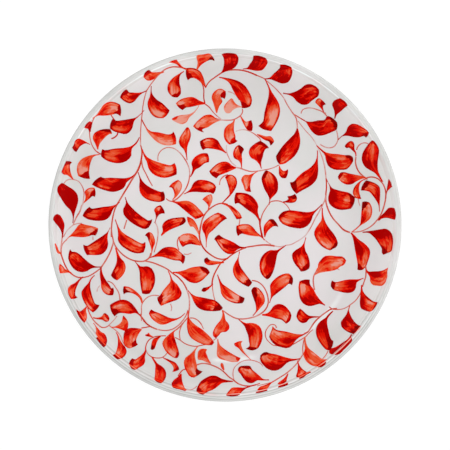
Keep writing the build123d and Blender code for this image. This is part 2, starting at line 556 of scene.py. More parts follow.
def mark_of(tree, name):
    """One of the marks that a stroke carries."""
    return node(tree, "ShaderNodeAttribute", attribute_name=name).outputs["Fac"]


def hue(red, green, blue):
    """A written colour, 0 to 255, as the shader's linear light."""
    share = np.array([red, green, blue]) / 255
    linear = np.where(share > 0.04045, ((share + 0.055) / 1.055) ** 2.4, share / 12.92)
    return (*linear.tolist(), 1.0)


def colours(tree, value, stops):
    """A range of colours read at a value; each stop is a place and a written colour."""
    made = node(tree, "ShaderNodeValToRGB", {"Fac": value})
    steps = made.color_ramp.elements
    steps[0].position, steps[0].color = stops[0][0], hue(*stops[0][1])
    steps[1].position, steps[1].color = stops[-1][0], hue(*stops[-1][1])
    for place, colour in stops[1:-1]:
        steps.new(place).color = hue(*colour)
    return made.outputs["Color"]


def finish(tree, shader, colour, roughness, sheen):
    """Gives a shader its colour and, the same all over, its roughness and the strength of its reflections."""
    tree.links.new(colour, shader.inputs["Base Color"])
    shader.inputs["Roughness"].default_value = roughness
    shader.inputs["Specular IOR Level"].default_value = sheen


def roughen(tree, shader, height, strength, depth):
    """Fine relief from a pattern, too small for the mesh; its depth is in metres."""
    bump = node(tree, "ShaderNodeBump", {"Height": height, "Strength": strength, "Distance": depth})
    tree.links.new(bump.outputs["Normal"], shader.inputs["Normal"])


# How thickly the red lies, from bare glaze to a pooled drop.
RED_DEPTHS = (
    (0.0, (224, 206, 203)),
    (0.10, (229, 162, 146)),
    (0.27, (231, 114, 88)),
    (0.40, (230, 84, 46)),
    (0.52, (229, 72, 36)),
    (0.58, (223, 26, 8)),
    (0.71, (223, 17, 3)),
    (0.76, (180, 0, 0)),
    (0.88, (169, 0, 0)),
    (1.0, (120, 2, 1)),
)
# The same drawn thinly with the brush's point, where the clay darkens it.
STEM_DEPTHS = (
    (0.0, (214, 184, 182)),
    (0.20, (210, 114, 103)),
    (0.40, (203, 68, 49)),
    (0.62, (197, 29, 11)),
    (0.80, (182, 5, 2)),
    (1.0, (142, 0, 0)),
)
# The glaze by shade, from the grey rings, the grey lip and painted shade to the white of painted highlights.
GLAZE_SHADES = (
    (0.0, (186, 186, 184)),
    (0.2, (204, 204, 202)),
    (0.4, (219, 218, 216)),
    (0.55, (226, 221, 222)),
    (0.75, (238, 239, 238)),
    (1.0, (250, 254, 253)),
)
# The bare clay, from its dark grit to its pale grit.
CLAY_SHADES = (
    (0.25, (148, 116, 88)),
    (0.45, (196, 166, 134)),
    (0.62, (214, 190, 160)),
    (0.8, (230, 212, 188)),
)
RED_GLOSS, RED_SHEEN = 0.16, 0.10
RIM_RED_SHEEN = 0.02  # a wall seen edge on mirrors the white floor of the plate, so its strokes shine less
GLAZE_GLOSS, GLAZE_SHEEN = 0.12, 0.4
CLAY_ROUGHNESS, CLAY_SHEEN = 0.88, 0.5
PEEL_STRENGTH, PEEL_DEPTH = 0.05, 0.0002  # the glaze's faint orange peel, metres deep
PIT_STRENGTH, PIT_DEPTH = 0.6, 0.0003  # the clay's pits

# Noise: waves to the metre, then how much finer detail it has and how strong that is.
RADIUS_NOISE, PATCH_NOISE, DRIFT_NOISE = (30.0, 2.0), (16.0, 2.0), (22.0, 3.0)
GLOSS_NOISE, PEEL_NOISE = (60.0, 3.0), (240.0, 2.0)
CLAY_NOISE, GRIT_NOISE = (300.0, 5.0, 0.65), (1500.0, 3.0, 0.7)
WANDER_NOISE, MOTTLE_NOISE, BLOT_NOISE = (260.0, 2.0), (900.0, 3.0), (210.0, 3.0, 0.6)
STEM_SLOW_NOISE, STEM_GRAIN_NOISE = (90.0, 2.0), (700.0, 3.0)
STREAK_NOISE, FULLNESS_NOISE = (1.0, 5.0, 0.65), (1.0, 3.0, 0.6)  # these two drawn out along a stroke:
STREAK_WAVES, FULLNESS_WAVES = (0.9, 8.0), (2.0, 1.6)  # their waves along it and across it

# What each pattern adds to a stroke's depth of colour.
WANDER = 0.07  # how far the streaks wander across a stroke
SEED_SPREAD, FULLNESS_SEED, SIDE_TURNS = 37.0, 11.0, 40.0  # keep one stroke's patterns apart from the next's
STREAK_DEPTH, FULLNESS_DEPTH, SIDE_DEPTH, MOTTLE_DEPTH, BLOT_DEPTH = 0.15, 0.22, 0.24, 0.12, 0.05
STREAK_TURN, FULLNESS_TURN, BLOT_TURN = 0.10, 0.08, 0.04  # how softly each turns from thin to full
NECK, NECK_DEPTHS = (0.30, 0.55), (-0.03, 0.01)
EDGE, EDGE_DEPTH = (0.05, 0.35), 0.06
STEM_SLOW_DEPTH, STEM_GRAIN_DEPTH = 0.75, 0.25

# A leaf's light window: shares of the stroke where it opens and closes, its distance from the edges, its
# strength, and how much a fuller patch and the drop's side take off that.
WINDOW_OPENS, WINDOW_CLOSES, WINDOW_EDGE = (0.42, 0.80), (0.88, 0.98), (0.12, 0.75)
WINDOW_STRENGTH, WINDOW_FULLNESS, WINDOW_LEAN = 0.95, 0.5, 0.7
WASH_THINNEST, WASH_THICKEST = 0.15, 0.87

# The drop at its end: its depth and streaks, and how its shore wavers, leans and softens, in its own lengths.
DROP_DEPTH, DROP_STREAK = 0.965, 0.10
DROP_WAVER, DROP_LEAN, DROP_EDGE = 1.5, 2.4, 0.18

# Where painted highlights, painted shade, the grey lip and grey rings lie: distances from the axis in
# millimetres.
RADIUS_WAVER = 0.4
# A painted highlight: a thin white line along the crease.
CREASE_LINE, CREASE_LINE_HALF = 130.6, 0.6
CREASE_COOL, CREASE_COOL_HALF = 0.93, 1.8  # red light between the strokes and the wall is taken off the white
# A painted highlight: a soft white band in the cove, on the near side.
COVE_LINE, COVE_LINE_HALF = 105.0, 3.6
# Grey rings near the rim.
LINE_MIDDLE, LINE_HALF, LINE_PITCH = 131.2, 5.0, 1.70
# Painted shade up the flank and up the wall; grey on the lip.
FLANK_SHADE_ZONE, WALL_SHADE_ZONE, LIP_GREY = (110.0, 124.0), (130.7, 131.6), (133.2, 134.4)

# What crosses the strokes that climb the wall: the painted crease highlight again, and past it colour that
# has run together.
WALL_LINE, WALL_LINE_HALF, WALL_LINE_PALE = 129.9, 0.45, 1.4
WALL_DARK, WALL_DARK_DEPTH, WALL_DARK_SHARE = (128.5, 130.6), 0.95, 0.8

# How strong each of these is, by turns on the plate's far side and its near side unless it says otherwise.
# Painted highlight along the crease, painted highlight in the cove, grey rings.
CREASE_HIGHLIGHT_WHITE, COVE_HIGHLIGHT_WHITE, LINES_GREY = 0.90, 0.30, 0.40
# Painted crease highlight, painted shade on the flank, grey rings, painted highlight across the wall strokes.
CREASE_HIGHLIGHT_SIDES, FLANK_SHADE_SIDES, LINES_SIDES, WALL_LINE_SIDES = (1.0, 0.6), (0.05, 0.13), (0.2, 1.0), (0.25, 1.0)
# Grey on the lip, deeper on the left by painted shade.
LIP_SIDES = (0.24, 0.46)  # right and left
# Painted shade up the wall: all round, more on the far left, more on the near side.
WALL_ROUND, WALL_FAR_LEFT, WALL_NEAR = 0.01, 0.08, 0.02
DRIFT_SHADES = (0.38, 0.56)
PATCHY = (0.35, 0.75)  # strength of the painted crease highlight in its weaker patches and in its stronger ones

# Between which places, in metres from the plate's middle, one side passes into the other.
NEAR_SIDE = (-0.02, -0.09)  # along Y; the painted cove highlight lies on this side, and the painted shade is deeper here
LEFT_SIDE = (-0.06, 0.03)  # along X
CREASE_ENDS, CREASE_FAINT = (0.052, 0.078), 0.15  # along Y; the painted crease highlight fades to the left and right


def plate_radius(tree, place):
    """Distance from the plate's axis in millimetres, wavering a little as hand work does."""
    flat = vector_times(tree, place, (1 / MM, 1 / MM, 0.0))
    radius = node(tree, "ShaderNodeVectorMath", {0: flat}, operation="LENGTH").outputs["Value"]
    return heaped(tree, radius, (centred(tree, noise(tree, place, *RADIUS_NOISE)), RADIUS_WAVER))


def near_side(tree, place):
    """Nothing on the far half of the plate, rising to one on its near side."""
    return ramp_up(tree, parts_of(tree, place)[1], *NEAR_SIDE)


def painted_highlight_patches(tree, place):
    """Broad soft patches, in which the painted highlights are stronger."""
    return ramp_up(tree, noise(tree, place, *PATCH_NOISE), 0.42, 0.58)


def painted_crease_highlight(tree, place, radius, middle, half):
    """Painted highlight along the crease: a thin ring in patches, faint at the plate's left and right."""
    off_centre = calc(tree, "ABSOLUTE", parts_of(tree, place)[1])
    along_crease = ramp_up(tree, off_centre, *CREASE_ENDS, CREASE_FAINT, 1.0)
    patches = between(tree, painted_highlight_patches(tree, place), *PATCHY)
    return product(tree, band(tree, radius, middle, half), along_crease, patches)


def turned_over(tree, pattern, softness):
    """A noise pattern as thin and full places, -0.5 and 0.5, which pass into each other softly."""
    return ramp_up(tree, pattern, 0.5 - softness, 0.5 + softness, -0.5, 0.5)


def along_stroke(tree, u, v, waves, seed, settings):
    """Noise drawn out along a stroke, so many waves along and across it, apart for every seed."""
    laid = vector_of(tree, product(tree, u, waves[0]), product(tree, v, waves[1]), seed)
    return noise(tree, laid, *settings)


def leaf_body(tree, place, u, v, edge, streak, fullness, mark):
    """Depth of a leaf's body = the stroke's own + streaks + fuller patches + its fuller side + mottle + blots
    + a little more past the neck + darker edges.  The fuller side is a cosine of the seed, times the place
    across."""
    side = calc(tree, "COSINE", product(tree, mark["seed"], SIDE_TURNS))
    side = product(tree, side, centred(tree, v))
    mottle = centred(tree, noise(tree, place, *MOTTLE_NOISE))
    blot = turned_over(tree, noise(tree, place, *BLOT_NOISE), BLOT_TURN)
    past_neck = ramp_up(tree, u, *NECK, *NECK_DEPTHS)
    at_edge = ramp_up(tree, edge, *EDGE, EDGE_DEPTH, 0.0)
    return heaped(
        tree, mark["tone"], (streak, STREAK_DEPTH), (fullness, FULLNESS_DEPTH), (side, SIDE_DEPTH),
        (mottle, MOTTLE_DEPTH), (blot, BLOT_DEPTH), (past_neck, 1.0), (at_edge, 1.0),
    )


def watered(tree, depth, u, edge, fullness, sided, water):
    """Takes the light window off a leaf's body: water that lay before the tip and off the edges, less in the
    fuller patches and on the side that the drop leans to.  The depth is then kept between two washes."""
    window = product(
        tree, ramp_up(tree, u, *WINDOW_OPENS), ramp_up(tree, u, *WINDOW_CLOSES, 1.0, 0.0),
        ramp_up(tree, edge, *WINDOW_EDGE), heaped(tree, WINDOW_STRENGTH, (fullness, -WINDOW_FULLNESS)),
        heaped(tree, 1.0, (sided, -WINDOW_LEAN)),
    )
    depth = calc(tree, "SUBTRACT", depth, product(tree, window, water))
    return calc(tree, "MAXIMUM", calc(tree, "MINIMUM", depth, WASH_THICKEST), WASH_THINNEST)


def pooled(tree, depth, u, waver, streak, sided, mark):
    """Darkens the end of a leaf where its last drop pooled: within one drop of the tip, further on the side
    that the drop leans to, as far towards the drop's own depth as the mark of its pool says."""
    from_tip = calc(tree, "DIVIDE", rest_of(tree, u), mark["drop"])
    shore = heaped(tree, 1.0, (sided, DROP_LEAN), (waver, DROP_WAVER))
    inside = ramp_up(tree, calc(tree, "SUBTRACT", shore, from_tip), -DROP_EDGE, DROP_EDGE)
    missing = calc(tree, "SUBTRACT", heaped(tree, DROP_DEPTH, (streak, DROP_STREAK)), depth)
    return heaped(tree, depth, (product(tree, inside, mark["pool"]), missing), clamp=True)


def crossing_wall(tree, depth, place):
    """Where a leaf climbs the wall, mostly on the near side: its colour has run together past the crease, so
    its depth goes towards a dark one there, and a painted crease highlight lays a pale line over it: times 1
    - line."""
    radius, near = plate_radius(tree, place), near_side(tree, place)
    wall_run_and_cove_highlight = product(tree, ramp_up(tree, radius, *WALL_DARK, 0.0, WALL_DARK_SHARE), near)
    depth = heaped(tree, depth, (calc(tree, "SUBTRACT", WALL_DARK_DEPTH, depth), wall_run_and_cove_highlight))
    # A painted highlight along the crease, laid across the stroke.
    line = painted_crease_highlight(tree, place, radius, WALL_LINE, WALL_LINE_HALF)
    line = product(tree, line, between(tree, near, *WALL_LINE_SIDES))
    return product(tree, depth, heaped(tree, 1.0, (line, -WALL_LINE_PALE), clamp=True))


def leaf_colour(name, sheen, on_wall):
    """Red brushed on in one stroke: the body's depth, less the light window, with the drop pooled at its end
    and, on the wall, a painted crease highlight over it."""
    material, tree, shader = new_material(name)
    place = object_place(tree)
    u, v, _ = parts_of(tree, node(tree, "ShaderNodeUVMap", uv_map="stroke").outputs[0])
    mark = {key: mark_of(tree, key) for key in LEAF_MARKS}
    waver = centred(tree, noise(tree, place, *WANDER_NOISE))
    v = heaped(tree, v, (waver, WANDER))
    edge = product(tree, v, rest_of(tree, v), 4.0)
    sided = product(tree, centred(tree, v), mark["lean"])
    seed = product(tree, mark["seed"], SEED_SPREAD)
    streak = turned_over(tree, along_stroke(tree, u, v, STREAK_WAVES, seed, STREAK_NOISE), STREAK_TURN)
    seed = calc(tree, "ADD", seed, FULLNESS_SEED)
    fullness = along_stroke(tree, u, v, FULLNESS_WAVES, seed, FULLNESS_NOISE)
    fullness = turned_over(tree, fullness, FULLNESS_TURN)

    depth = leaf_body(tree, place, u, v, edge, streak, fullness, mark)
    depth = watered(tree, depth, u, edge, fullness, sided, mark["water"])
    depth = pooled(tree, depth, u, waver, streak, sided, mark)
    if on_wall:
        depth = crossing_wall(tree, depth, place)
    finish(tree, shader, colours(tree, depth, RED_DEPTHS), RED_GLOSS, sheen)
    return material


def stem_colour():
    """Red drawn with the brush's point: the stem's depth with slow changes along it and a grain across it."""
    material, tree, shader = new_material("red_stem_lines")
    place = object_place(tree)
    slow = centred(tree, noise(tree, place, *STEM_SLOW_NOISE))
    grain = centred(tree, noise(tree, place, *STEM_GRAIN_NOISE))
    tone = mark_of(tree, "tone")
    depth = heaped(tree, tone, (slow, STEM_SLOW_DEPTH), (grain, STEM_GRAIN_DEPTH), clamp=True)
    finish(tree, shader, colours(tree, depth, STEM_DEPTHS), RED_GLOSS, RED_SHEEN)
    return material


def face_shades(tree, place, radius, near):
    """What the eating face adds to the glaze's shade: painted highlights along the crease and in the cove,
    less painted shade up the flank and up the wall and grey on the lip, the last two deeper on the left by
    painted shade."""
    left = ramp_up(tree, parts_of(tree, place)[0], *LEFT_SIDE, 1.0, 0.0)
    far_left = product(tree, left, rest_of(tree, near))
    # Painted highlight along the crease, weaker on the near side.
    crease_highlight = painted_crease_highlight(tree, place, radius, CREASE_LINE, CREASE_LINE_HALF)
    crease_highlight = product(tree, crease_highlight, between(tree, near, *CREASE_HIGHLIGHT_SIDES))
    # Painted highlight in the cove, on the near side, in patches.
    wall_run_and_cove_highlight = product(tree, band(tree, radius, COVE_LINE, COVE_LINE_HALF), near, painted_highlight_patches(tree, place))
    # Painted shade up the flank and up the wall.
    flank = product(tree, ramp_up(tree, radius, *FLANK_SHADE_ZONE), between(tree, near, *FLANK_SHADE_SIDES))
    wall = heaped(tree, WALL_ROUND, (far_left, WALL_FAR_LEFT), (near, WALL_NEAR))
    wall = product(tree, ramp_up(tree, radius, *WALL_SHADE_ZONE), wall)
    # Grey on the lip, deeper on the left by painted shade.
    lip = product(tree, ramp_up(tree, radius, *LIP_GREY), between(tree, left, *LIP_SIDES))
    greys = heaped(tree, lip, (flank, 1.0), (wall, 1.0))
    return heaped(tree, product(tree, crease_highlight, CREASE_HIGHLIGHT_WHITE), (wall_run_and_cove_highlight, COVE_HIGHLIGHT_WHITE), (greys, -1.0))


def grey_rim_rings(tree, radius, near):
    """Fine grey rings near the rim, a cosine of the radius, strongest on the near side."""
    lines = product(tree, calc(tree, "SUBTRACT", radius, LINE_MIDDLE), 2 * math.pi / LINE_PITCH)
    lines = ramp_up(tree, calc(tree, "COSINE", lines), -0.3, 0.9)
    zone = band(tree, radius, LINE_MIDDLE, LINE_HALF)
    return product(tree, lines, zone, between(tree, near, *LINES_SIDES))


def glaze_colour():
    """White glaze.  Shade = slow drift + the eating face's painted highlights and shades - the grey rim
    rings.
    Along the crease a little red is taken off the white."""
    material, tree, shader = new_material("white_glaze_coat")
    place = object_place(tree)
    radius, near = plate_radius(tree, place), near_side(tree, place)
    upward = parts_of(tree, node(tree, "ShaderNodeTexCoord").outputs["Normal"])[2]
    drift = ramp_up(tree, noise(tree, place, *DRIFT_NOISE), 0.3, 0.7, *DRIFT_SHADES)
    shade = heaped(
        tree, drift, (face_shades(tree, place, radius, near), ramp_up(tree, upward, 0.0, 0.15)),
        (grey_rim_rings(tree, radius, near), -LINES_GREY), clamp=True,
    )
    cool = between(tree, band(tree, radius, CREASE_LINE, CREASE_COOL_HALF), 1.0, CREASE_COOL)
    tint = vector_times(tree, colours(tree, shade, GLAZE_SHADES), vector_of(tree, cool, 1.0, 1.0))
    finish(tree, shader, tint, GLAZE_GLOSS, GLAZE_SHEEN)
    gloss = between(tree, noise(tree, place, *GLOSS_NOISE), GLAZE_GLOSS * 0.8, GLAZE_GLOSS * 1.3)
    tree.links.new(gloss, shader.inputs["Roughness"])
    roughen(tree, shader, noise(tree, place, *PEEL_NOISE), PEEL_STRENGTH, PEEL_DEPTH)
    return material


def clay_colour():
    """Bare fired clay: buff with fine dark and pale grit, and pitted."""
    material, tree, shader = new_material("bare_buff_clay")
    place = object_place(tree)
    grit = centred(tree, noise(tree, place, *GRIT_NOISE))
    mixed = heaped(tree, noise(tree, place, *CLAY_NOISE), (grit, 0.6))
    finish(tree, shader, colours(tree, mixed, CLAY_SHADES), CLAY_ROUGHNESS, CLAY_SHEEN)
    roughen(tree, shader, mixed, PIT_STRENGTH, PIT_DEPTH)
    return material


# Each leaf, with its marks from 0 to 9: its depth of colour, the water in its light window, the pool of its
# drop (above 9 the drop only grows), the side that the drop leans to (-1 first, 0 even, 1 second), and its
# two side lines from neck to tip, in squares across and down.
LEAF_MARKS = ("tone", "water", "pool", "lean", "seed", "drop")
LEAVES = (
    (8, 5, 8, -1, (147, 90.3, 140, 92.7, 133, 92.7, 129, 92.3, 126.5, 89.7, 123, 92),
     (147, 91, 141, 94, 137, 98, 134, 101.5, 130, 103.2, 125, 101.5, 120, 97.5)),
    (5, 5, 8, 1, (92.5, 118, 96, 115.5, 100, 110, 104, 104.5, 109, 102, 115, 102.5, 120, 104.8),
     (92.7, 118.5, 97, 115.8, 104, 115.5, 111, 114.8, 116.5, 113.7, 120.5, 116.1)),
    (8, 3, 7, -1, (144.2, 110, 140, 114.5, 136, 117.5, 130, 119, 122, 120.3, 116, 120.8, 112.5, 119),
     (144.2, 110.5, 139, 116, 134, 121, 132.5, 127, 130, 131.5, 126, 134, 120, 133, 114, 131.3,
      110, 128.5)),
    (5, 0, 9, -1, (97.7, 149.5, 95.5, 144, 93, 138.5, 94, 134, 99, 130.5, 105, 129.2, 110, 129.2),
     (98.2, 149.5, 99.5, 144, 103, 139.5, 107, 135.5, 110, 133.8, 112, 134)),
    (7, 3, 8, 0, (90, 144.5, 86, 142, 82, 139.8, 78, 138.8, 75.5, 140.5, 74, 144.5, 72.2, 147.7),
     (90, 144.8, 86, 143.3, 82, 144.8, 79, 147.5, 77.5, 150, 76, 152)),
    (6, 2, 8, 0, (73, 179.8, 70, 177, 67, 174.8, 64, 174.5, 61.8, 172.5, 63, 168.5, 66.3, 161),
     (73.5, 179.5, 71, 174, 69.8, 168, 69.8, 165, 72, 162.3)),
    (4, 5, 8, 1, (99.5, 154.3, 93, 155, 87, 156.5, 82, 159, 78, 164, 77, 170, 78.5, 176),
     (99.5, 154.7, 93, 157, 91, 161, 89.3, 168, 89, 174, 90, 178.7)),
    (8, 3, 6, 0, (139.3, 137, 136, 142.5, 131, 146.3, 124, 148, 115, 148.7, 108, 150, 104.5, 150.3,
      102.3, 149.3),
     (139.6, 137.5, 137, 143, 131.5, 149, 131, 156, 127, 160.5, 120, 163, 113, 162.5, 106, 160,
      101.3, 156.3)),
    (8, 5, 7, -1, (136, 173, 131, 176.8, 126, 178.2, 117, 178.2, 109, 177.8, 104, 178.2, 100.7, 176.8),
     (136, 173.7, 131, 178.5, 126, 183, 124.5, 187, 120, 190, 114, 191.8, 107, 190.8, 100, 188.5,
      95.5, 186.5, 92, 184.5)),
    (8, 2, 8, -1, (119.5, 202, 115, 205, 110, 206.3, 103, 207, 96, 208.3, 91, 208.5, 89.5, 207),
     (119.8, 202.5, 115, 206.5, 112.3, 210.5, 110, 216, 106, 219.5, 100, 220.7, 93, 220.3, 87, 218.8,
      82.7, 215.7)),
    (5, 3, 8, 1, (83.5, 203, 85.5, 198, 85.5, 195, 84.7, 192, 87, 189.3, 91, 187.8, 94.5, 188),
     (83.8, 203, 87, 200.5, 90, 198, 92.5, 196, 95, 196.8)),
    (9, 1, 0, 0, (72.6, 223, 72.8, 216, 71, 211, 66, 205.5, 61, 198, 57.3, 190.5, 58, 186.5, 61.5, 183),
     (73, 223, 74.3, 214, 76.5, 207, 78, 201, 77.3, 195, 73.5, 190, 69, 187, 64, 183.8)),
    (9, 0, 0, 0, (62.3, 238, 61.5, 232, 58.5, 226.5, 55, 222.5, 53.2, 219, 54.5, 215.5),
     (62.7, 238, 63.5, 231, 64.3, 224.5, 62, 218.5, 59.5, 215, 57, 214)),
    (9, 0, 0, 0, (89.3, 132, 88.3, 129.3, 84.2, 127.8),
     (90.3, 132, 91.2, 127, 91.8, 122.3, 89.3, 121.3)),
    (4, 2, 8, 1, (66, 240, 70, 235.8, 74, 231.5, 76.5, 228, 79, 225, 81, 224, 86, 225, 92, 226.3,
      98, 228.3),
     (66, 240.5, 70, 236.8, 76, 236.7, 83, 237, 89, 236, 92, 235, 95.5, 235.3)),
    (8, 4, 7, 0, (110.2, 227, 108.5, 231, 104, 235, 98, 239, 92, 243, 86.5, 246, 83.3, 244.8),
     (110, 228, 108, 233, 107.3, 238, 108, 244, 106.5, 249.5, 102, 254, 95, 255, 90, 254.7, 87, 255)),
    (9, 5, 6, 0, (101, 266.7, 95, 266.3, 90, 263.5, 84, 258.5, 79, 254, 75, 252, 72, 251.8, 70, 249.2),
     (101, 267.3, 96, 267.5, 91, 268.5, 87, 271, 82, 272, 76, 270.3, 71, 265, 68.3, 258)),
    (7, 4, 7, 1, (115.7, 247, 118, 253, 120.5, 258, 124, 262, 125.5, 266.5, 124.5, 272, 121, 277,
      117, 280.3),
     (115.3, 248, 116.7, 255, 117, 260, 115.5, 266, 113, 271, 111, 275.5)),
    (7, 4, 3, 0, (115.5, 219, 118, 226, 121, 231, 126, 235, 132, 238.5, 138, 242, 143, 243.7, 145.3, 242),
     (115.2, 220, 117.5, 228, 118.3, 234, 118, 240, 121, 245, 127, 249.5, 133, 252.5, 139, 253.3,
      143.5, 252.3)),
    (4, 1, 3, 0, (61, 254, 57.5, 252.8, 56, 249, 54.7, 243.5),
     (61.3, 253.5, 58.8, 250.8, 57, 247, 55.4, 243.5)),
    (5, 3, 2, 0, (73, 274.5, 69, 271, 65, 269, 62.5, 266, 59.5, 264),
     (72.5, 275, 68.5, 272.5, 64, 273, 60.2, 273.2)),
    (7, 3, 5, 1, (83, 276.5, 79, 279.5, 75, 283, 70.5, 285.5, 68, 289, 68.5, 294, 71, 299),
     (83.3, 277, 79.5, 281, 77, 286, 75.3, 291, 75.3, 295.5, 77.5, 297.5)),
    (8, 5, 5, 1, (94.5, 275, 91, 278.5, 88.5, 283, 84.5, 287.5, 81.7, 292, 82.5, 298, 86, 305, 90, 310,
      93, 312.3),
     (94.7, 275.5, 91, 280, 90, 286, 91, 292, 93, 299, 95.5, 304, 99.5, 305)),
    (7, 4, 7, 0, (101.5, 266, 101.8, 271, 104, 277, 107, 282, 110, 286, 111.5, 288.5, 113.3, 287.8),
     (100.8, 267, 100, 274, 101, 282, 101.5, 288, 104, 292.5, 108, 295, 113, 295)),
    (7, 4, 8, 1, (144.5, 322, 140, 315.5, 136, 309, 131.5, 303.5, 127, 300.5, 121, 299.8, 115, 302,
      110, 305),
     (144, 322, 139, 315, 136, 313, 130, 313.8, 124, 313, 119, 313, 114.5, 316.3)),
    (5, 3, 9, 1, (142.2, 304, 142, 298.5, 139, 294.5, 134, 290, 128.5, 287, 123.8, 286.3),
     (141.5, 303, 139.5, 298, 135, 294.3, 130, 292.5, 126.5, 292.5, 123.8, 294.3)),
    (6, 3, 7, -1, (93, 317.3, 98, 317.7, 102, 316.3, 104.3, 313.3, 107.5, 315, 109.3, 318),
     (93, 318, 98, 319.2, 102, 319.7, 106.5, 321.7, 108.8, 320.8)),
    (6, 3, 2, 1, (87.5, 305.5, 86, 310, 86.7, 315, 86.5, 319, 84.3, 322.7),
     (87, 306, 83, 309.5, 80, 311.5, 76.3, 309.5)),
    (5, 1, 6, 0, (93, 323, 95.5, 326.5, 96.2, 330, 96, 334, 98, 337, 101.5, 341, 104.7, 344.5),
     (93.5, 323, 97.5, 328, 101, 332, 104.5, 334, 106.3, 337, 107, 341, 105.8, 345)),
    (9, 0, 8, 0, (96, 337.8, 98, 340.8, 100.6, 344.1, 103.6, 347.3),
     (97.7, 336.9, 100.5, 339.6, 103.5, 342.8, 105.9, 345.4)),
    (6, 3, 6, 0, (115.8, 332.3, 117.5, 336, 118, 341, 117.7, 346, 116.5, 351, 115.5, 353.7, 112.7, 355),
     (116.3, 332.3, 118.5, 336, 120, 340, 122.5, 344, 125.5, 348, 126.5, 351.5, 125, 355.5, 121, 358.5,
      117.5, 359.3)),
    (5, 4, 8, 1, (141.7, 329, 138, 328.5, 133, 328, 128, 328.7, 125, 331, 123.7, 336, 123.7, 341,
      125.5, 346, 129, 348.2, 132, 347.5),
     (141.7, 329.7, 139.5, 332.5, 137, 337, 136, 340.5, 136.3, 342.3, 138, 344.5)),
    (4, 1, 6, 0, (111, 327, 115, 326.6, 119, 324.3, 121.8, 321.3, 122.8, 317.5, 123.3, 315.5),
     (111.5, 327.7, 117, 327.8, 121.5, 329.5, 126, 331, 128, 326.5, 127.8, 321.5, 125.8, 318.3)),
    (7, 4, 7, 0, (145.5, 347, 144.8, 351, 142.5, 354.3, 139, 357, 135, 359.5, 132.3, 358.3),
     (146, 347, 145.8, 353, 144.7, 357, 145, 361, 143.5, 364.5, 139, 367.5, 134.5, 369.8, 132, 368.8,
      130, 366, 129, 363.7)),
    (4, 3, 5, 0, (145, 125, 147.5, 129, 151, 131.5, 157, 132.3, 163, 133.5, 168, 134.7, 171.5, 134,
      173.5, 131.8),
     (144.7, 125.5, 147.5, 131.5, 151, 136, 156, 141, 162, 144.3, 169, 145.3, 176, 144)),
    (7, 4, 2, 1, (186.8, 160, 185.5, 153, 184, 149.5, 180.5, 146, 179, 142, 180, 137.5, 183.5, 132,
      186.5, 127.5),
     (187.3, 160, 186.8, 152, 187.5, 145.5, 189.8, 139.5, 190.7, 134.5, 189.7, 130, 188.5, 127.5)),
    (7, 8, 8, 0, (226.5, 153, 223, 149, 220.5, 145.5, 218, 141, 214, 138.3, 209, 137.8, 204, 139,
      200, 141.5),
     (226, 153.3, 222, 151, 218, 149.8, 211, 148.5, 206, 148.3, 203, 150)),
    (7, 4, 4, 0, (190.3, 177, 192, 172, 192.7, 168.5, 191.5, 163.5, 193.5, 158.8, 198, 155, 204, 153.2,
      207.5, 153.5),
     (190.7, 177, 193, 173.5, 195, 170, 200, 167, 205, 163, 208.9, 162)),
    (7, 4, 8, 1, (236, 167.5, 232, 165.5, 228, 162.3, 223, 161.8, 218, 163.5, 213, 167.5, 209.3, 171.5),
     (236, 168.2, 230, 171, 224, 173.5, 219, 175.5, 216.3, 178.3)),
    (6, 3, 5, 0, (142.5, 149, 144, 153, 147, 157, 152, 160, 158, 162.2, 165, 164.3, 171, 165.3, 174.5, 163),
     (142.3, 149.5, 144, 156, 147, 162, 148.5, 168, 152, 173, 158, 176.5, 165, 177.7, 171, 176.5,
      176.5, 174.3)),
    (8, 3, 8, 0, (138.3, 172, 140.5, 178, 144, 183, 150, 187.5, 156, 190.3, 161.5, 192, 163.5, 191.7),
     (138, 172.5, 139.8, 180, 139.3, 187, 140, 192, 143, 196.5, 148, 199.8, 155, 201.5, 161, 201.7,
      164.5, 200)),
    (5, 4, 5, -1, (172.3, 200, 174.5, 196, 173.8, 191, 172, 187.8, 169, 187),
     (172.7, 200, 176, 197, 179.5, 192.5, 181.8, 186.5, 181, 182.5, 178, 180)),
    (7, 4, 5, 1, (184, 193.7, 188, 191.5, 191, 188.5, 193, 184, 197, 180.5, 203, 180, 209, 181.3, 214, 184,
      216, 187),
     (184.3, 194.2, 189, 192.3, 195, 191.8, 203, 192.3, 210, 192.5, 213.3, 193.8)),
    (4, 1, 2, -1, (207.8, 210, 208.5, 206.5, 205.5, 202, 202.5, 199.5),
     (208.3, 210, 210, 206, 212, 201, 212.3, 197, 211, 194.2)),
    (6, 3, 4, 0, (172, 201, 178, 201.7, 183, 201, 188, 201, 193, 203.5, 198, 208, 202, 212.5, 204, 215),
     (172.3, 201.8, 177, 204, 182, 208, 188, 213, 193, 217, 195.5, 219)),
    (8, 5, 7, 1, (154.5, 223, 156, 217, 155.3, 213, 154.2, 210.5, 156.5, 207, 160.5, 205.3),
     (155, 223, 157, 217.5, 160, 214, 164.8, 213.3)),
    (7, 5, 9, 1, (161, 235, 163, 231, 162.2, 226.5, 165, 221.5, 170, 219, 177, 217.8, 184, 217.3),
     (161.3, 236, 167, 231.5, 173, 228.3, 179, 226, 184, 223.5, 186, 221)),
    (3, 2, 3, 0, (199.3, 235, 198, 228.5, 195, 222, 192.5, 219, 187, 216.8),
     (198.8, 235, 196, 230, 193, 226.5, 190.3, 226.5)),
    (8, 3, 8, 0, (125.3, 197, 127.5, 202.5, 132, 208, 138, 213.5, 144, 218, 149, 220.7, 152.3, 219.3),
     (125, 197.5, 126, 204, 123.3, 209, 123.5, 213.5, 127, 218.5, 133, 223.5, 140, 227.3, 145, 229,
      148.5, 227.5)),
    (8, 4, 6, 0, (134, 260, 138, 264.5, 141, 266.8, 146, 266.3, 151, 268, 154, 273, 155, 281, 153, 288,
      149.5, 293.5),
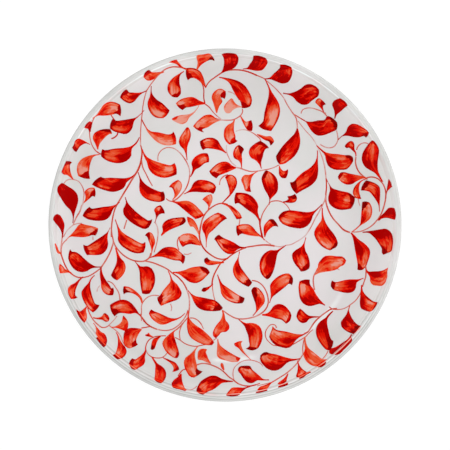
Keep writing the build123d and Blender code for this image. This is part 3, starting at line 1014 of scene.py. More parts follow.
     (134, 260.5, 137.5, 265.5, 139.5, 271, 140, 279, 141, 287, 142.3, 293.5)),
    (5, 5, 8, -1, (150.8, 256, 151.5, 250, 150.3, 245, 148.5, 240, 147, 236.5, 145, 235.3),
     (151.2, 256, 153, 248, 155, 242, 153.8, 237, 152, 233.5, 149, 232)),
    (7, 4, 7, 0, (150, 257.3, 155, 255, 159, 251.5, 163, 248.3, 170, 247, 176, 248.3, 180, 252, 185, 256.5),
     (150, 257.8, 156, 256.7, 162, 256.7, 168, 258.5, 175, 260.3, 180.5, 261, 183, 264)),
    (6, 5, 8, 1, (168.3, 271, 170.5, 275, 172.5, 280, 177, 284.5, 180.5, 290, 181.7, 294, 179, 298.5,
      172, 301.5, 165, 304, 161, 305.8),
     (168, 271.5, 170, 276, 170.5, 281, 167, 286, 163, 291, 160, 295.5, 157.3, 297.8)),
    (6, 4, 6, -1, (185, 313, 181, 316.5, 176, 318.5, 170, 318, 164, 315.5, 158, 312.8, 154, 311.3,
      151.3, 309.5),
     (185, 313.5, 181, 317.3, 176, 320, 171, 321.7, 166, 324, 161, 324.5, 156, 322, 151, 317.5,
      149, 313.5)),
    (5, 5, 6, 1, (201, 245, 199, 241, 196.5, 236.8, 191, 233.8, 185, 233.8, 181, 235.5, 179, 239.5),
     (200.5, 245.5, 196, 244.8, 190, 244, 186, 245, 182.8, 247)),
    (6, 3, 15, -1, (173, 272, 179, 271.7, 184, 270.5, 190, 268, 197, 266.7, 203, 266.7, 208, 269.5,
      209.7, 272),
     (173, 272.8, 179, 274, 184, 278, 190, 282, 196, 283, 201, 281, 206, 276.5, 209.3, 273.3)),
    (6, 1, 10, 0, (224, 262, 218, 261.5, 213, 261, 209.5, 260, 207, 257.3),
     (224, 262.8, 217, 264, 211, 265, 207, 264.5, 204.5, 262, 204.3, 259.5)),
    (7, 2, 9, 0, (213, 283, 210, 286, 206, 287.5, 203.5, 287.7),
     (213, 284.5, 210, 287.5, 207, 290.3, 203.5, 291.8, 201.5, 290.5)),
    (7, 5, 30, 0, (188, 290, 191, 293.5, 195, 296, 202, 297.5, 209, 299, 215, 300.5, 220, 304.5,
      222.8, 308),
     (188.3, 291, 191.5, 296, 194, 302, 198, 307.5, 203, 310, 210, 311, 216, 311, 220, 310.5)),
    (8, 5, 8, -1, (246, 247.3, 240, 246.5, 235, 243.3, 229, 240.3, 223, 237.8, 219, 234.8),
     (246, 248, 240, 248.3, 236, 250.5, 233, 253.3, 229, 254, 224, 251.5, 220, 247, 216, 241, 214.3, 239)),
    (6, 4, 5, 1, (206, 248, 206, 241, 205, 235, 202, 228.5, 203.5, 222.5, 209, 217.5, 215, 214, 218, 212.7),
     (206.3, 247, 207, 239, 209, 233.5, 213, 230, 218, 225, 222.5, 221, 227, 218.3)),
    (4, 0, 6, 0, (153, 336.7, 150.5, 335, 148.5, 333, 147, 334.3, 145.3, 334.7),
     (153, 337.2, 150, 336.8, 147.5, 336.3, 145.5, 335.7)),
    (7, 1, 9, 0, (160.5, 335.8, 157, 337.3, 153.5, 339, 152, 342, 151.3, 346, 150.7, 349),
     (160.7, 336.8, 158.5, 339, 156.8, 342, 155.7, 345.5, 154, 349, 152, 350)),
    (6, 4, 7, 1, (175.5, 329.7, 172, 332.3, 168, 335.5, 164.5, 339, 162.5, 343, 163.7, 347.5, 167, 352.5,
      171, 356, 175, 358),
     (176.5, 329.7, 173.7, 333, 174, 336, 175.5, 341, 177, 346, 178.5, 351, 179, 355, 177.5, 357.8)),
    (7, 5, 0, -1, (151.7, 357.3, 153.5, 361, 155.3, 364.5, 155.3, 370, 155, 376, 154.5, 380),
     (152.5, 357, 155, 360.5, 158, 364, 162, 366.5, 165, 370, 166, 375, 164.3, 380, 161, 383.3)),
    (7, 2, 5, 0, (163, 357.5, 167, 359, 171, 360.7, 175, 362.5, 177.5, 365.5, 179.3, 369.3),
     (163, 358, 167, 360.5, 170.5, 363, 173, 366, 173.8, 369, 172.5, 371.7)),
    (7, 4, 1, 0, (180.5, 374, 178, 377, 174, 380, 171.8, 384, 172.5, 387, 175.5, 388.5, 180, 389.5,
      185, 391),
     (181.5, 373.5, 181.7, 378, 182.3, 382, 183.7, 386, 185.3, 389, 186.8, 390)),
    (4, 3, 9, 1, (197.3, 346.5, 194, 350.5, 190, 354.5, 185.5, 358, 184, 362, 184.7, 367, 187.5, 373,
      190, 376.3, 193.5, 377.5, 196.5, 376),
     (198, 346.5, 195.5, 350.5, 194.7, 355, 195.5, 360, 196.7, 365, 197.5, 369.5, 200, 370.8,
      202.5, 371.5)),
    (4, 0, 0, 0, (210.5, 363.7, 206, 361.7, 202, 360, 198.3, 359.5, 197.8, 355, 198.7, 351, 201, 349),
     (211, 363.3, 208.5, 359.5, 207, 355.5, 205.8, 352, 207, 349.3)),
    (8, 4, 8, 0, (233, 381, 227, 380.3, 221, 378.5, 216, 376, 212, 375.7, 206, 378, 201, 381.5, 198, 386,
      196.3, 391.3),
     (233, 381.7, 227, 382.2, 222, 383, 218, 386, 213, 389.5, 208, 391.5, 205, 393.5, 203, 394.7)),
    (6, 3, 6, 0, (187.7, 311, 187.7, 317, 187, 323, 187.3, 328, 188.3, 333, 191, 337.5, 196, 341,
      201, 343.5, 207, 345, 212, 345),
     (188.5, 311, 188.7, 317, 191, 321, 196, 325.5, 202, 329.5, 207, 334, 211, 338, 214, 342.3)),
    (5, 2, 5, -1, (222, 310, 222.5, 315, 221, 319.5, 217.5, 324, 214.5, 328.5, 213, 333, 213.3, 336),
     (222.8, 310, 224.5, 315, 225.3, 320, 228.5, 324, 229.3, 328, 226, 331.7, 221, 332.3, 219, 335,
      215.7, 338)),
    (6, 2, 2, 0, (224, 370.5, 221.5, 367.5, 220.7, 364.5, 221.3, 363),
     (224.3, 370, 223.7, 366.5, 223, 364, 222, 363)),
    (5, 1, 8, -1, (164, 71.6, 157, 72.3, 151.5, 72, 149.3, 70.2, 145.5, 72),
     (164, 72.2, 158, 75, 153, 79.5, 148, 80.5, 143.5, 77)),
    (7, 4, 8, 1, (184, 71, 179, 74, 172, 79, 168, 85, 168, 91, 172, 96.5),
     (184, 71.5, 180, 75.5, 179.3, 82, 180.7, 90, 180.5, 94, 177.5, 97.3)),
    (8, 5, 3, -1, (151.5, 86, 151.8, 93, 156, 99, 163, 104, 167, 108, 169.5, 110.5),
     (151, 86, 150.3, 95, 147.6, 104, 149.5, 111, 155, 117, 163.5, 118)),
    (6, 5, 8, 1, (205.5, 103, 200, 101, 193, 97.3, 186, 97.8, 180, 100, 176, 103.5),
     (205, 104, 199, 105, 190, 107, 185.5, 107.6, 182.6, 110)),
    (1, 4, 6, -1, (199, 105.3, 195, 111, 190, 114, 180, 115.5, 175, 117, 172, 118.7),
     (199, 106, 194, 113, 189, 117.5, 186.5, 122, 182, 124, 177, 122.5, 172.2, 119.8)),
    (6, 3, 8, 1, (206, 88, 204.5, 82, 203, 77, 200.5, 72, 196, 69, 191, 68, 186.3, 68.3),
     (205.5, 87.5, 201.5, 83, 197, 79, 191, 78, 187.8, 80.2)),
    (5, 0, 9, 1, (196.3, 70.3, 197.7, 63, 197, 55.7, 203, 54.6, 210, 54, 213.2, 57.5),
     (197, 70.5, 201, 65, 206, 61.5, 211, 59.7, 214.8, 61)),
    (6, 1, 0, 0, (187, 69, 182, 66.5, 179, 63, 176.5, 59.8),
     (187, 70, 180, 67, 176, 63.8, 169, 62.3)),
    (5, 5, 8, 1, (216.3, 113, 213.5, 103, 211.8, 97.5, 214.5, 91.5, 220.5, 88.8, 225.6, 91.5),
     (217, 113, 219, 106.5, 222.2, 101, 221, 97.5, 224.8, 98.7)),
    (4, 3, 8, 1, (221, 119.3, 215.5, 118, 211.5, 115, 205.5, 115.3, 199, 119.8, 193.2, 126.3),
     (221, 120.2, 214, 123, 208, 127, 202, 130, 203.9, 132.3)),
    (9, 3, 6, -1, (221.3, 73, 223.3, 68, 224.2, 62, 223.5, 57.5, 221.7, 54),
     (222.5, 72.5, 228, 70.3, 233, 68.5, 236.5, 65.3, 238.2, 61, 238, 57, 236, 54)),
    (9, 1, 7, -1, (243, 68.7, 247, 68, 250, 64, 252.5, 60.5, 253.5, 55.7),
     (243, 69.2, 248, 69.2, 252, 70, 257, 70.7, 262, 70, 265.5, 66.5, 267.5, 61.5, 265.8, 58.2)),
    (9, 5, 8, -1, (265, 78.7, 270, 77.5, 274, 73.5, 278, 70, 280, 67.5, 280.3, 64.5),
     (265.5, 79.3, 271, 79.3, 276, 81.3, 282, 83.3, 288, 82, 291, 77.5, 292.3, 71.5, 291.3, 67.3)),
    (9, 5, 2, -1, (283, 92.8, 289, 93.5, 295, 91.8, 301, 88.5, 305.5, 85, 310, 84.2, 315, 86, 318.8, 89.5),
     (283, 93.5, 290, 95.3, 293, 97, 297, 101.5, 302, 104.5, 307, 104.3, 312, 100.5, 318, 96.3)),
    (7, 4, 8, 1, (219, 77, 226, 78, 232, 79.2, 239, 81.5, 245, 86, 249, 92, 251.5, 98, 251.8, 102,
      250, 106.5),
     (219, 77.6, 225, 79.5, 229, 82.5, 233, 90, 237, 97, 241, 102.5, 241.7, 108)),
    (7, 6, 4, -1, (264.5, 79, 267, 84, 269, 90, 268.5, 97, 266.5, 105, 264.5, 113, 262.8, 122, 258.4, 126),
     (265, 79, 268.5, 85, 271, 91, 275, 97, 278.5, 103, 280, 110, 278.5, 118, 275, 125, 271, 131)),
    (1, 2, 1, -1, (242, 106.5, 238, 105.5, 234.5, 102.5, 232, 98.5, 227.5, 101.8, 224.5, 105.5),
     (242, 107.3, 238, 107.5, 233, 109.8, 230, 112.8, 226.5, 113, 224, 109.5)),
    (4, 4, 8, 0, (240.3, 116, 242, 120.5, 244.5, 125.5, 248, 130.2, 252, 130.8),
     (241, 116, 243, 119, 246, 121.8, 248.5, 121.3, 251.3, 120.3)),
    (5, 3, 7, 1, (234.3, 119.5, 232.5, 122.5, 228, 125, 225, 128.5, 224, 133, 224.3, 138, 226.5, 142,
      229.5, 144.5),
     (234.7, 120, 233.8, 126, 233.8, 131, 235.3, 136, 235.5, 139.5, 237.5, 141)),
    (5, 0, 10, 1, (257, 134, 261, 135, 266, 136.5, 270, 136.3, 273, 139, 274, 141.5),
     (257, 134.5, 261, 137.5, 265, 140, 269, 141.5, 270.5, 145.5)),
    (8, 4, 12, -1, (297, 128, 295, 133, 291, 137.5, 286, 142.5, 281, 148.5, 278, 153, 276, 156.3),
     (297.9, 129, 299.5, 135, 300, 143, 298, 150.5, 294, 156.5, 289, 160.5, 284, 163.8, 279.5, 164.3)),
    (8, 2, 9, -1, (317.2, 150, 317, 157, 315, 162.5, 310, 168, 303, 172.5, 297, 178, 293.5, 182,
      290, 182.5),
     (317.8, 151, 317.7, 162, 318, 172, 316.5, 179, 312, 184.5, 306, 188.3, 300, 191.5, 296.5, 193.8)),
    (8, 4, 7, -1, (322, 204, 318, 208, 314, 211, 308, 212.3, 301, 211.7, 294, 210.7, 288, 210.5,
      283, 211.8),
     (322, 204.8, 317, 210, 313, 215, 311, 221, 307, 226, 301, 228.3, 294, 227.7, 286, 225.5, 281, 222.5,
      278.3, 217.5)),
    (7, 3, 8, 0, (261.3, 169, 259.5, 164.5, 256, 160.5, 251, 157.5, 249, 153, 250, 148.5, 254, 144.5,
      260, 141),
     (261.5, 168.5, 261, 163, 262.5, 157, 264, 151.5, 266, 148.5, 269, 148)),
    (6, 5, 10, 1, (241.3, 168, 240.5, 163, 238, 160, 234.5, 158.3, 233.2, 154, 234.5, 149, 237, 146,
      239, 145),
     (241.8, 167.5, 242, 160, 242, 153, 244, 149.5)),
    (4, 2, 6, 1, (258, 171, 254, 173, 249, 175, 245, 175, 242.5, 177, 241.3, 180, 243, 184, 245, 190.5),
     (258, 171.5, 254, 174, 252, 177, 250.5, 182, 250, 187, 251, 191.8)),
    (8, 4, 12, 1, (269.3, 205, 270.5, 199, 273, 196.5, 277, 192, 278, 186, 277, 179.5, 274, 175, 270, 172,
      267, 170.5),
     (268.8, 204, 269.5, 199, 268, 195, 265, 190, 262.8, 184, 261.7, 178, 263, 174.5, 265.3, 170.7)),
    (8, 9, 1, -1, (222, 203, 226.5, 198, 229.5, 194, 229.3, 190, 227.7, 184, 226, 179, 225, 177.5),
     (222.5, 203, 228, 198, 232, 193.5, 235.5, 188, 237, 182, 235.5, 177.5, 232, 175, 228.5, 174.8)),
    (8, 4, 8, 1, (260, 224, 258.7, 216, 257.5, 211, 258.2, 206, 256, 201, 252, 196.5, 247, 193.8,
      241, 192.8, 236, 192.8),
     (259.5, 222, 256, 216, 251, 212, 246, 208.5, 241, 204.5, 238, 202.8, 235, 204)),
    (6, 3, 6, 1, (222, 203.3, 227, 204.5, 232, 206.3, 236, 209.5, 240, 214, 242, 218),
     (222, 204, 227, 206, 231, 210, 234, 214.5, 236.7, 219.2)),
    (6, 1, 6, 0, (279.2, 165.5, 279, 170, 279.5, 175, 282, 177.8, 286, 178),
     (279.6, 166, 281, 169, 283.5, 171, 285.5, 170.8, 288, 169.3)),
    (9, 3, 9, -1, (283, 201.7, 286, 201, 288.5, 198.7, 287.5, 196.7, 291, 196, 295, 194),
     (283, 202.3, 287, 202.5, 292, 202.8, 295.5, 201.5, 297, 198.5)),
    (7, 4, 9, 0, (264.5, 237, 263.8, 231, 264, 226.5, 267, 222, 270, 219.3, 273.5, 219.5),
     (265, 237, 267, 232, 270, 228.5, 274, 226, 278.3, 226.8)),
    (6, 6, 11, 0, (217.5, 274, 219.5, 279, 222, 283.5, 227, 287.3, 233, 291.5, 239, 295.5, 244.5, 298),
     (217.3, 275, 219.3, 282, 220.5, 288, 221.5, 294, 225, 298.5, 230, 301.5, 236, 303.3, 242.5, 303)),
    (6, 4, 8, 1, (265, 240, 261, 236, 256, 231.5, 253, 227.5, 249, 224.7, 243, 224.3, 236.5, 226),
     (264.5, 240.5, 260, 236.5, 255, 236, 248, 235, 241, 233.7, 238, 236)),
    (8, 5, 12, 1, (286, 245, 281, 248, 277, 250.3, 270, 250.3, 264, 254, 260.3, 260, 259.7, 267, 261, 273,
      264, 277, 267, 279.3),
     (286, 245.5, 281.5, 249, 278, 252.5, 276, 260, 274.5, 267, 272.5, 273, 270, 277.5)),
    (8, 5, 8, 1, (305.7, 237, 304, 243, 301, 247, 296, 250, 292.3, 254, 292.7, 259, 295.5, 264.5,
      299, 268.5, 301, 271.5),
     (306, 238, 304.5, 245, 305.5, 251, 308, 256, 309.3, 261, 309.7, 266, 309, 268.5)),
    (7, 4, 9, 0, (269.3, 303, 271, 296, 270.5, 290, 270.3, 285, 273, 281, 278, 276.7, 284, 274, 289, 273.7,
      292.7, 278),
     (269.8, 303, 272, 297.5, 276, 294, 281, 290, 286, 286, 289, 283.5, 292, 285)),
    (6, 4, 20, 1, (253, 316, 257, 311.5, 261, 307, 264.5, 302, 264, 296, 261, 291, 257, 287.5, 254, 287.2),
     (252.7, 315.5, 256, 311, 256, 306, 254.3, 300, 252.5, 295, 251.3, 290.5)),
    (7, 5, 18, 0, (239.3, 251, 238, 258, 235, 263, 233, 269.5, 234, 275, 237, 279.5, 242, 283.5,
      248.5, 286.7),
     (239.7, 252, 238.5, 260, 240, 266, 244, 272, 248, 277.5, 252, 282.3)),
    (7, 4, 7, -1, (262, 314.3, 268, 313, 271, 310, 273.5, 306.3, 279, 304, 284, 305.5, 289, 310.5,
      291.3, 315, 290, 320.5),
     (262, 315.3, 269, 316.5, 276, 318.5, 282, 320, 286, 323.7)),
    (7, 5, 8, -1, (325, 305, 321, 301, 317, 296, 313.5, 289.5, 309.5, 283, 309.7, 279.7),
     (325, 305.5, 319, 303.7, 315, 305, 309, 306, 303.5, 303.5, 300.3, 299, 299, 292, 298.7, 286,
      299.7, 281.5)),
    (9, 3, 3, 0, (320, 316.5, 314, 316.3, 309, 315.7, 305, 313, 302.5, 310.5, 299.7, 308.7),
     (320, 317, 313, 317.7, 309, 319, 306.5, 322, 303, 323, 299, 321, 296.5, 316.5)),
    (4, 5, 6, 1, (217.5, 339, 217.5, 345, 217, 351, 217.3, 356, 220, 358.5, 226, 360.3, 232, 361.8,
      238, 361.5),
     (218, 339, 219.5, 344.5, 223, 348, 228, 351.5, 233, 354.5, 237, 356.7, 240.5, 358)),
    (7, 3, 11, 0, (238, 318.5, 242, 321.5, 246, 323.3, 251, 323, 256, 324, 260, 327, 262, 332, 262.3, 338,
      260.5, 344, 257.5, 348.5, 252.5, 350.3),
     (237.7, 318.7, 241, 322, 244.5, 326, 246.5, 331, 248.5, 336.5, 249, 341, 249.7, 346, 246, 348.7)),
    (4, 0, 0, 0, (251, 360, 246, 355.5, 242, 352, 238.5, 348, 234.5, 345, 234.3, 343.5),
     (251, 359.7, 246.5, 355, 243.5, 351, 241.5, 346.5, 241, 343.3, 242.5, 341)),
    (8, 5, 9, 0, (269, 379.5, 263, 379, 259.5, 376, 256, 373, 252.5, 370, 250.3, 366),
     (269, 380.2, 262, 380.3, 257, 380.3, 253, 382.8, 248, 382.5, 244.5, 379.5, 241, 374.5, 238, 369.5,
      240, 366.5, 243, 366)),
    (7, 4, 9, 0, (300, 358.3, 294, 359, 288, 358, 281, 356, 275, 354.2, 269, 353, 267, 352),
     (300, 359, 294, 360.5, 288, 362, 284, 365.5, 280, 369, 274, 370.7, 268, 369, 263, 364.5, 260, 359,
      260.7, 355, 263, 353)),
    (7, 6, 0, -1, (308.5, 331.3, 304, 334, 299, 334.5, 293, 333.5, 286, 331.7, 280, 330.7, 276.5, 330,
      272.5, 326),
     (308.5, 332, 303, 335.3, 298, 338, 295, 341, 292.5, 345, 288, 348, 282, 347.3, 276, 345.3, 271.5, 341,
      269.3, 337, 270.5, 333, 272, 330)),
    (4, 2, 0, -1, (305.5, 337, 305.8, 342, 308, 347.5, 313, 352, 318, 356, 322, 359, 327, 359.5),
     (304.8, 337, 304.5, 343, 305, 349, 303.5, 354, 305, 359, 309, 363.5, 314, 366, 318, 366.3)),
    (7, 0, 4, 0, (318.2, 367.2, 321.5, 366.9, 324.6, 365, 326.2, 362.2),
     (317.6, 366.6, 320.5, 365.2, 323.3, 363.2, 324.8, 361.2)),
    (7, 4, 1, 0, (298, 360.5, 299, 364.5, 301, 367.5, 303.5, 370, 306.5, 372),
     (297.3, 360.5, 298, 366, 297.5, 371.5, 296.7, 377, 298.5, 377.5)),
    (8, 0, 6, 0, (299.5, 379, 303, 377.5, 307, 374.5, 311.3, 372.3),
     (298.8, 377.7, 302, 376, 306, 373, 310, 371.7)),
    (7, 1, 3, 0, (288.3, 373.7, 287.5, 376.5, 286.7, 379, 286.5, 381.5),
     (287.7, 373.5, 285, 377.5, 281.5, 380.5, 278, 384, 280, 384.7)),
    (5, 0, 0, 0, (278, 387.5, 282, 386.8, 285.5, 385.8, 288, 384.5),
     (278.3, 386.3, 282, 385, 285.5, 383.5, 287.7, 382.5)),
    (6, 2, 0, 0, (274, 381.5, 270.5, 384, 268.5, 387, 267, 389.3),
     (273.5, 381, 269, 383.5, 264, 385.5, 260, 387, 257.5, 390.3, 260, 390.7)),
    (9, 0, 2, 0, (255.6, 393.1, 260, 392.6, 264, 391.6, 267.3, 390.6),
     (256.3, 391.9, 260, 390.9, 264, 389.8, 267, 388.9)),
    (7, 4, 2, -1, (256, 384.3, 250, 386, 244, 387.7, 237, 387.5, 232, 388, 229, 391, 226, 395.5),
     (256, 385, 250, 386.8, 245, 389, 242, 391.5, 239.5, 394.5, 237.5, 395.7)),
    (8, 4, 9, -1, (301, 118.5, 306, 121.3, 312, 121.8, 318, 120.5, 325, 119.7, 327, 116.3, 333, 118.5,
      337, 122.5),
     (301, 119, 306, 122, 309, 127, 313, 132.5, 318, 135.5, 324, 135, 331, 132.3, 336.5, 129.8)),
    (7, 3, 7, 1, (323.6, 112, 321, 108.3, 318, 105, 315.5, 102, 316.5, 99.8, 319, 98.5, 322, 100.2),
     (324, 112, 323, 108.5, 323.2, 105.5, 326, 104.3)),
    (9, 1, 0, 0, (334.3, 119, 334.8, 114, 333.8, 109, 332.3, 104.5, 334, 101, 337, 99.3, 340, 98.3),
     (335, 118.5, 336.5, 115, 341, 111, 344.5, 107.8, 347.7, 105.2)),
    (8, 5, 7, 1, (338, 139.3, 342, 136, 346, 132, 348, 127, 352, 124, 357, 124.5, 362, 127, 366, 129.5,
      369, 132.7),
     (338.3, 140, 343, 136, 348, 135.8, 354, 137, 360, 137, 364, 136, 366, 137.5)),
    (7, 5, 9, -1, (316.5, 145, 321, 149, 325, 152, 331, 153.7, 338, 154.3, 345, 155.3, 349.5, 155.2,
      352.5, 156.8),
     (316.5, 146, 321, 150.5, 325, 155, 326, 160, 328.5, 166, 334, 169.3, 341, 169.7, 347, 169, 350, 166,
      353, 161.5)),
    (6, 4, 8, -1, (366, 177.5, 361, 176, 355, 174.8, 348, 173.3, 344, 172.2, 341, 172.5, 338, 176.5),
     (366, 178, 361, 179, 356, 181.5, 352, 184, 347, 184.5, 342, 182.3, 338.5, 178.8)),
    (7, 3, 5, -1, (355.7, 157, 355, 153, 352, 150, 348.5, 147.5, 346.7, 148, 344.7, 146.2),
     (356.3, 156, 356, 152.5, 354.3, 149, 354.3, 145, 352.8, 141.7, 350.3, 141)),
    (8, 4, 5, 1, (382.5, 182, 378.5, 177, 375, 173, 370, 170, 365, 166.5, 362, 160, 362.5, 154, 366, 147.5,
      370, 142.3, 372, 140.3),
     (383, 181.5, 380, 176, 378, 171, 377.5, 166, 378, 158, 379, 151, 377.5, 146, 374, 141)),
    (7, 4, 9, 0, (379.7, 212, 379.5, 206, 379.8, 199, 380, 192, 379.3, 187, 376, 184, 371, 181.8,
      366, 180.5),
     (379.3, 211, 378.3, 204, 376, 200, 372.5, 195, 369, 191.5, 366, 190.7, 361, 190.3)),
    (8, 5, 8, -1, (326.3, 178.5, 329, 184, 332, 188, 337, 190, 343, 191.5, 349, 193, 354.8, 197.5),
     (326.3, 180, 329.5, 185.5, 330, 191, 328.3, 197, 329, 202.5, 333, 207, 340, 209.7, 346, 209.5,
      351, 208.5)),
    (6, 4, 0, 0, (364, 179.3, 360, 181.5, 356.5, 184.5, 354, 188, 353, 193, 355, 197.5),
     (364, 179.7, 360.5, 182.5, 359, 186, 359, 191, 359.8, 195, 361.2, 199)),
    (6, 4, 11, -1, (351.5, 232, 356, 228.5, 360, 224.5, 361, 218, 361.7, 211, 362, 205, 362.5, 201.8),
     (352, 232.3, 357, 228.5, 361, 225, 366, 222, 370, 218.5, 372, 212, 371.2, 206, 369, 202.3)),
    (9, 0, 0, 0, (378, 220, 381, 216, 385, 212, 389, 208, 394.5, 208.2),
     (378.5, 221, 382, 218.5, 387, 217.8, 391, 218.8, 395.2, 219.7)),
    (8, 0, 0, 0, (385.6, 199, 386.8, 190, 388, 183, 389, 179),
     (386.2, 198, 388, 190.3, 390, 188.5, 392, 186.8)),
    (7, 4, 11, 1, (322, 208, 321.8, 214, 321.7, 220, 318.5, 224.5, 315.5, 229, 314.2, 233, 315.5, 238,
      319, 243.3, 324, 247.7, 329.7, 250.3),
     (322.7, 208, 323, 215, 325, 221.5, 328.5, 227.5, 332.5, 232.5, 336, 238, 337.7, 244, 336.5, 246.8,
      332.5, 249)),
    (9, 4, 13, 1, (362.5, 232, 368, 231.3, 374, 230.5, 380, 229.5, 386, 229, 390.5, 232, 392.8, 238,
      392.8, 245, 391.3, 251, 387, 253),
     (362.5, 232.7, 369, 233, 373, 236, 376.5, 240, 379.5, 244.5, 382, 249, 382, 253, 383.3, 254.8)),
    (8, 5, 8, -1, (350.5, 233, 352.5, 236.5, 353.5, 240, 354.5, 246, 355.5, 252, 356.7, 258, 357.7, 264,
      357.5, 269.7),
     (351.5, 232.5, 355, 236, 358.5, 239.5, 363, 242.5, 367, 246, 369.7, 250, 369.5, 256, 367.5, 262,
      365.7, 266.5, 362.5, 269.8)),
    (5, 4, 4, 0, (314.5, 275, 316, 270.5, 318, 267, 318.3, 264, 321, 260, 324.5, 256.5, 330, 255.7,
      337, 256.5, 343, 257, 346, 260.5),
     (315, 275, 318, 273.3, 323, 272, 330, 271, 337, 269, 341, 266, 343.3, 265.3)),
    (7, 7, 9, 0, (363.5, 278, 359, 279.3, 352, 279.5, 346, 280, 340, 281.5, 336.5, 282.3, 334.3, 282,
      332, 280.5),
     (363.5, 278.5, 359.5, 280.3, 356.3, 283, 356, 287, 353.5, 291.3, 349, 292.8, 343, 292.3, 338, 291,
      334, 290, 331, 286.5)),
    (6, 4, 0, 0, (366, 268.5, 368, 271.3, 373, 271.5, 379, 271.3, 383, 270.5, 386, 269, 388.3, 267.5),
     (366, 271, 368, 274, 370, 277, 370.3, 281, 372.5, 284.5, 377, 285.5, 382, 285.5, 385, 283, 386.5, 279,
      387.3, 276, 387, 273)),
    (8, 6, 3, 0, (362, 285, 362.8, 291, 366, 295.5, 370.5, 299.5, 374, 301.8, 377.7, 302.3),
     (361.3, 285, 360.8, 291, 360.3, 297, 360, 303, 361, 308, 365.5, 310.5, 371, 311.3, 373.5, 309.5)),
    (9, 3, 14, 1, (332.7, 310.8, 328.5, 314.5, 325.5, 318, 321, 321, 317.3, 325.5, 316, 331, 317, 337,
      320, 342.5, 323.5, 347, 328, 350.3, 330, 350),
     (333.3, 311.3, 329.5, 315.5, 327.3, 319, 327, 324, 328.3, 330, 329.7, 336, 331, 339.3, 333.3, 341)),
    (9, 4, 12, 0, (348, 310.5, 346.5, 314.5, 343.5, 318.5, 341, 322.5, 342, 327, 345, 330, 349, 332.3,
      353.5, 334),
     (348.7, 310.5, 350.5, 315.5, 353, 320, 356, 323.5, 359, 325.5, 361.3, 326)),
    (9, 0, 3, 0, (331.5, 354.3, 329.3, 352.5, 330, 349.7, 336, 347, 343, 342.5, 348, 339, 351.3, 334),
     (333, 354.3, 335, 352, 340, 347.3, 345, 342.3, 348.7, 339.3, 352, 335)),
    (4, 3, 5, 0, (334, 354.3, 338, 350.7, 343, 345.3, 347.5, 340.5, 350.5, 337),
     (335, 355, 339, 354, 344, 349.5, 349.5, 344, 352, 340.5, 351.7, 337.5)),
)

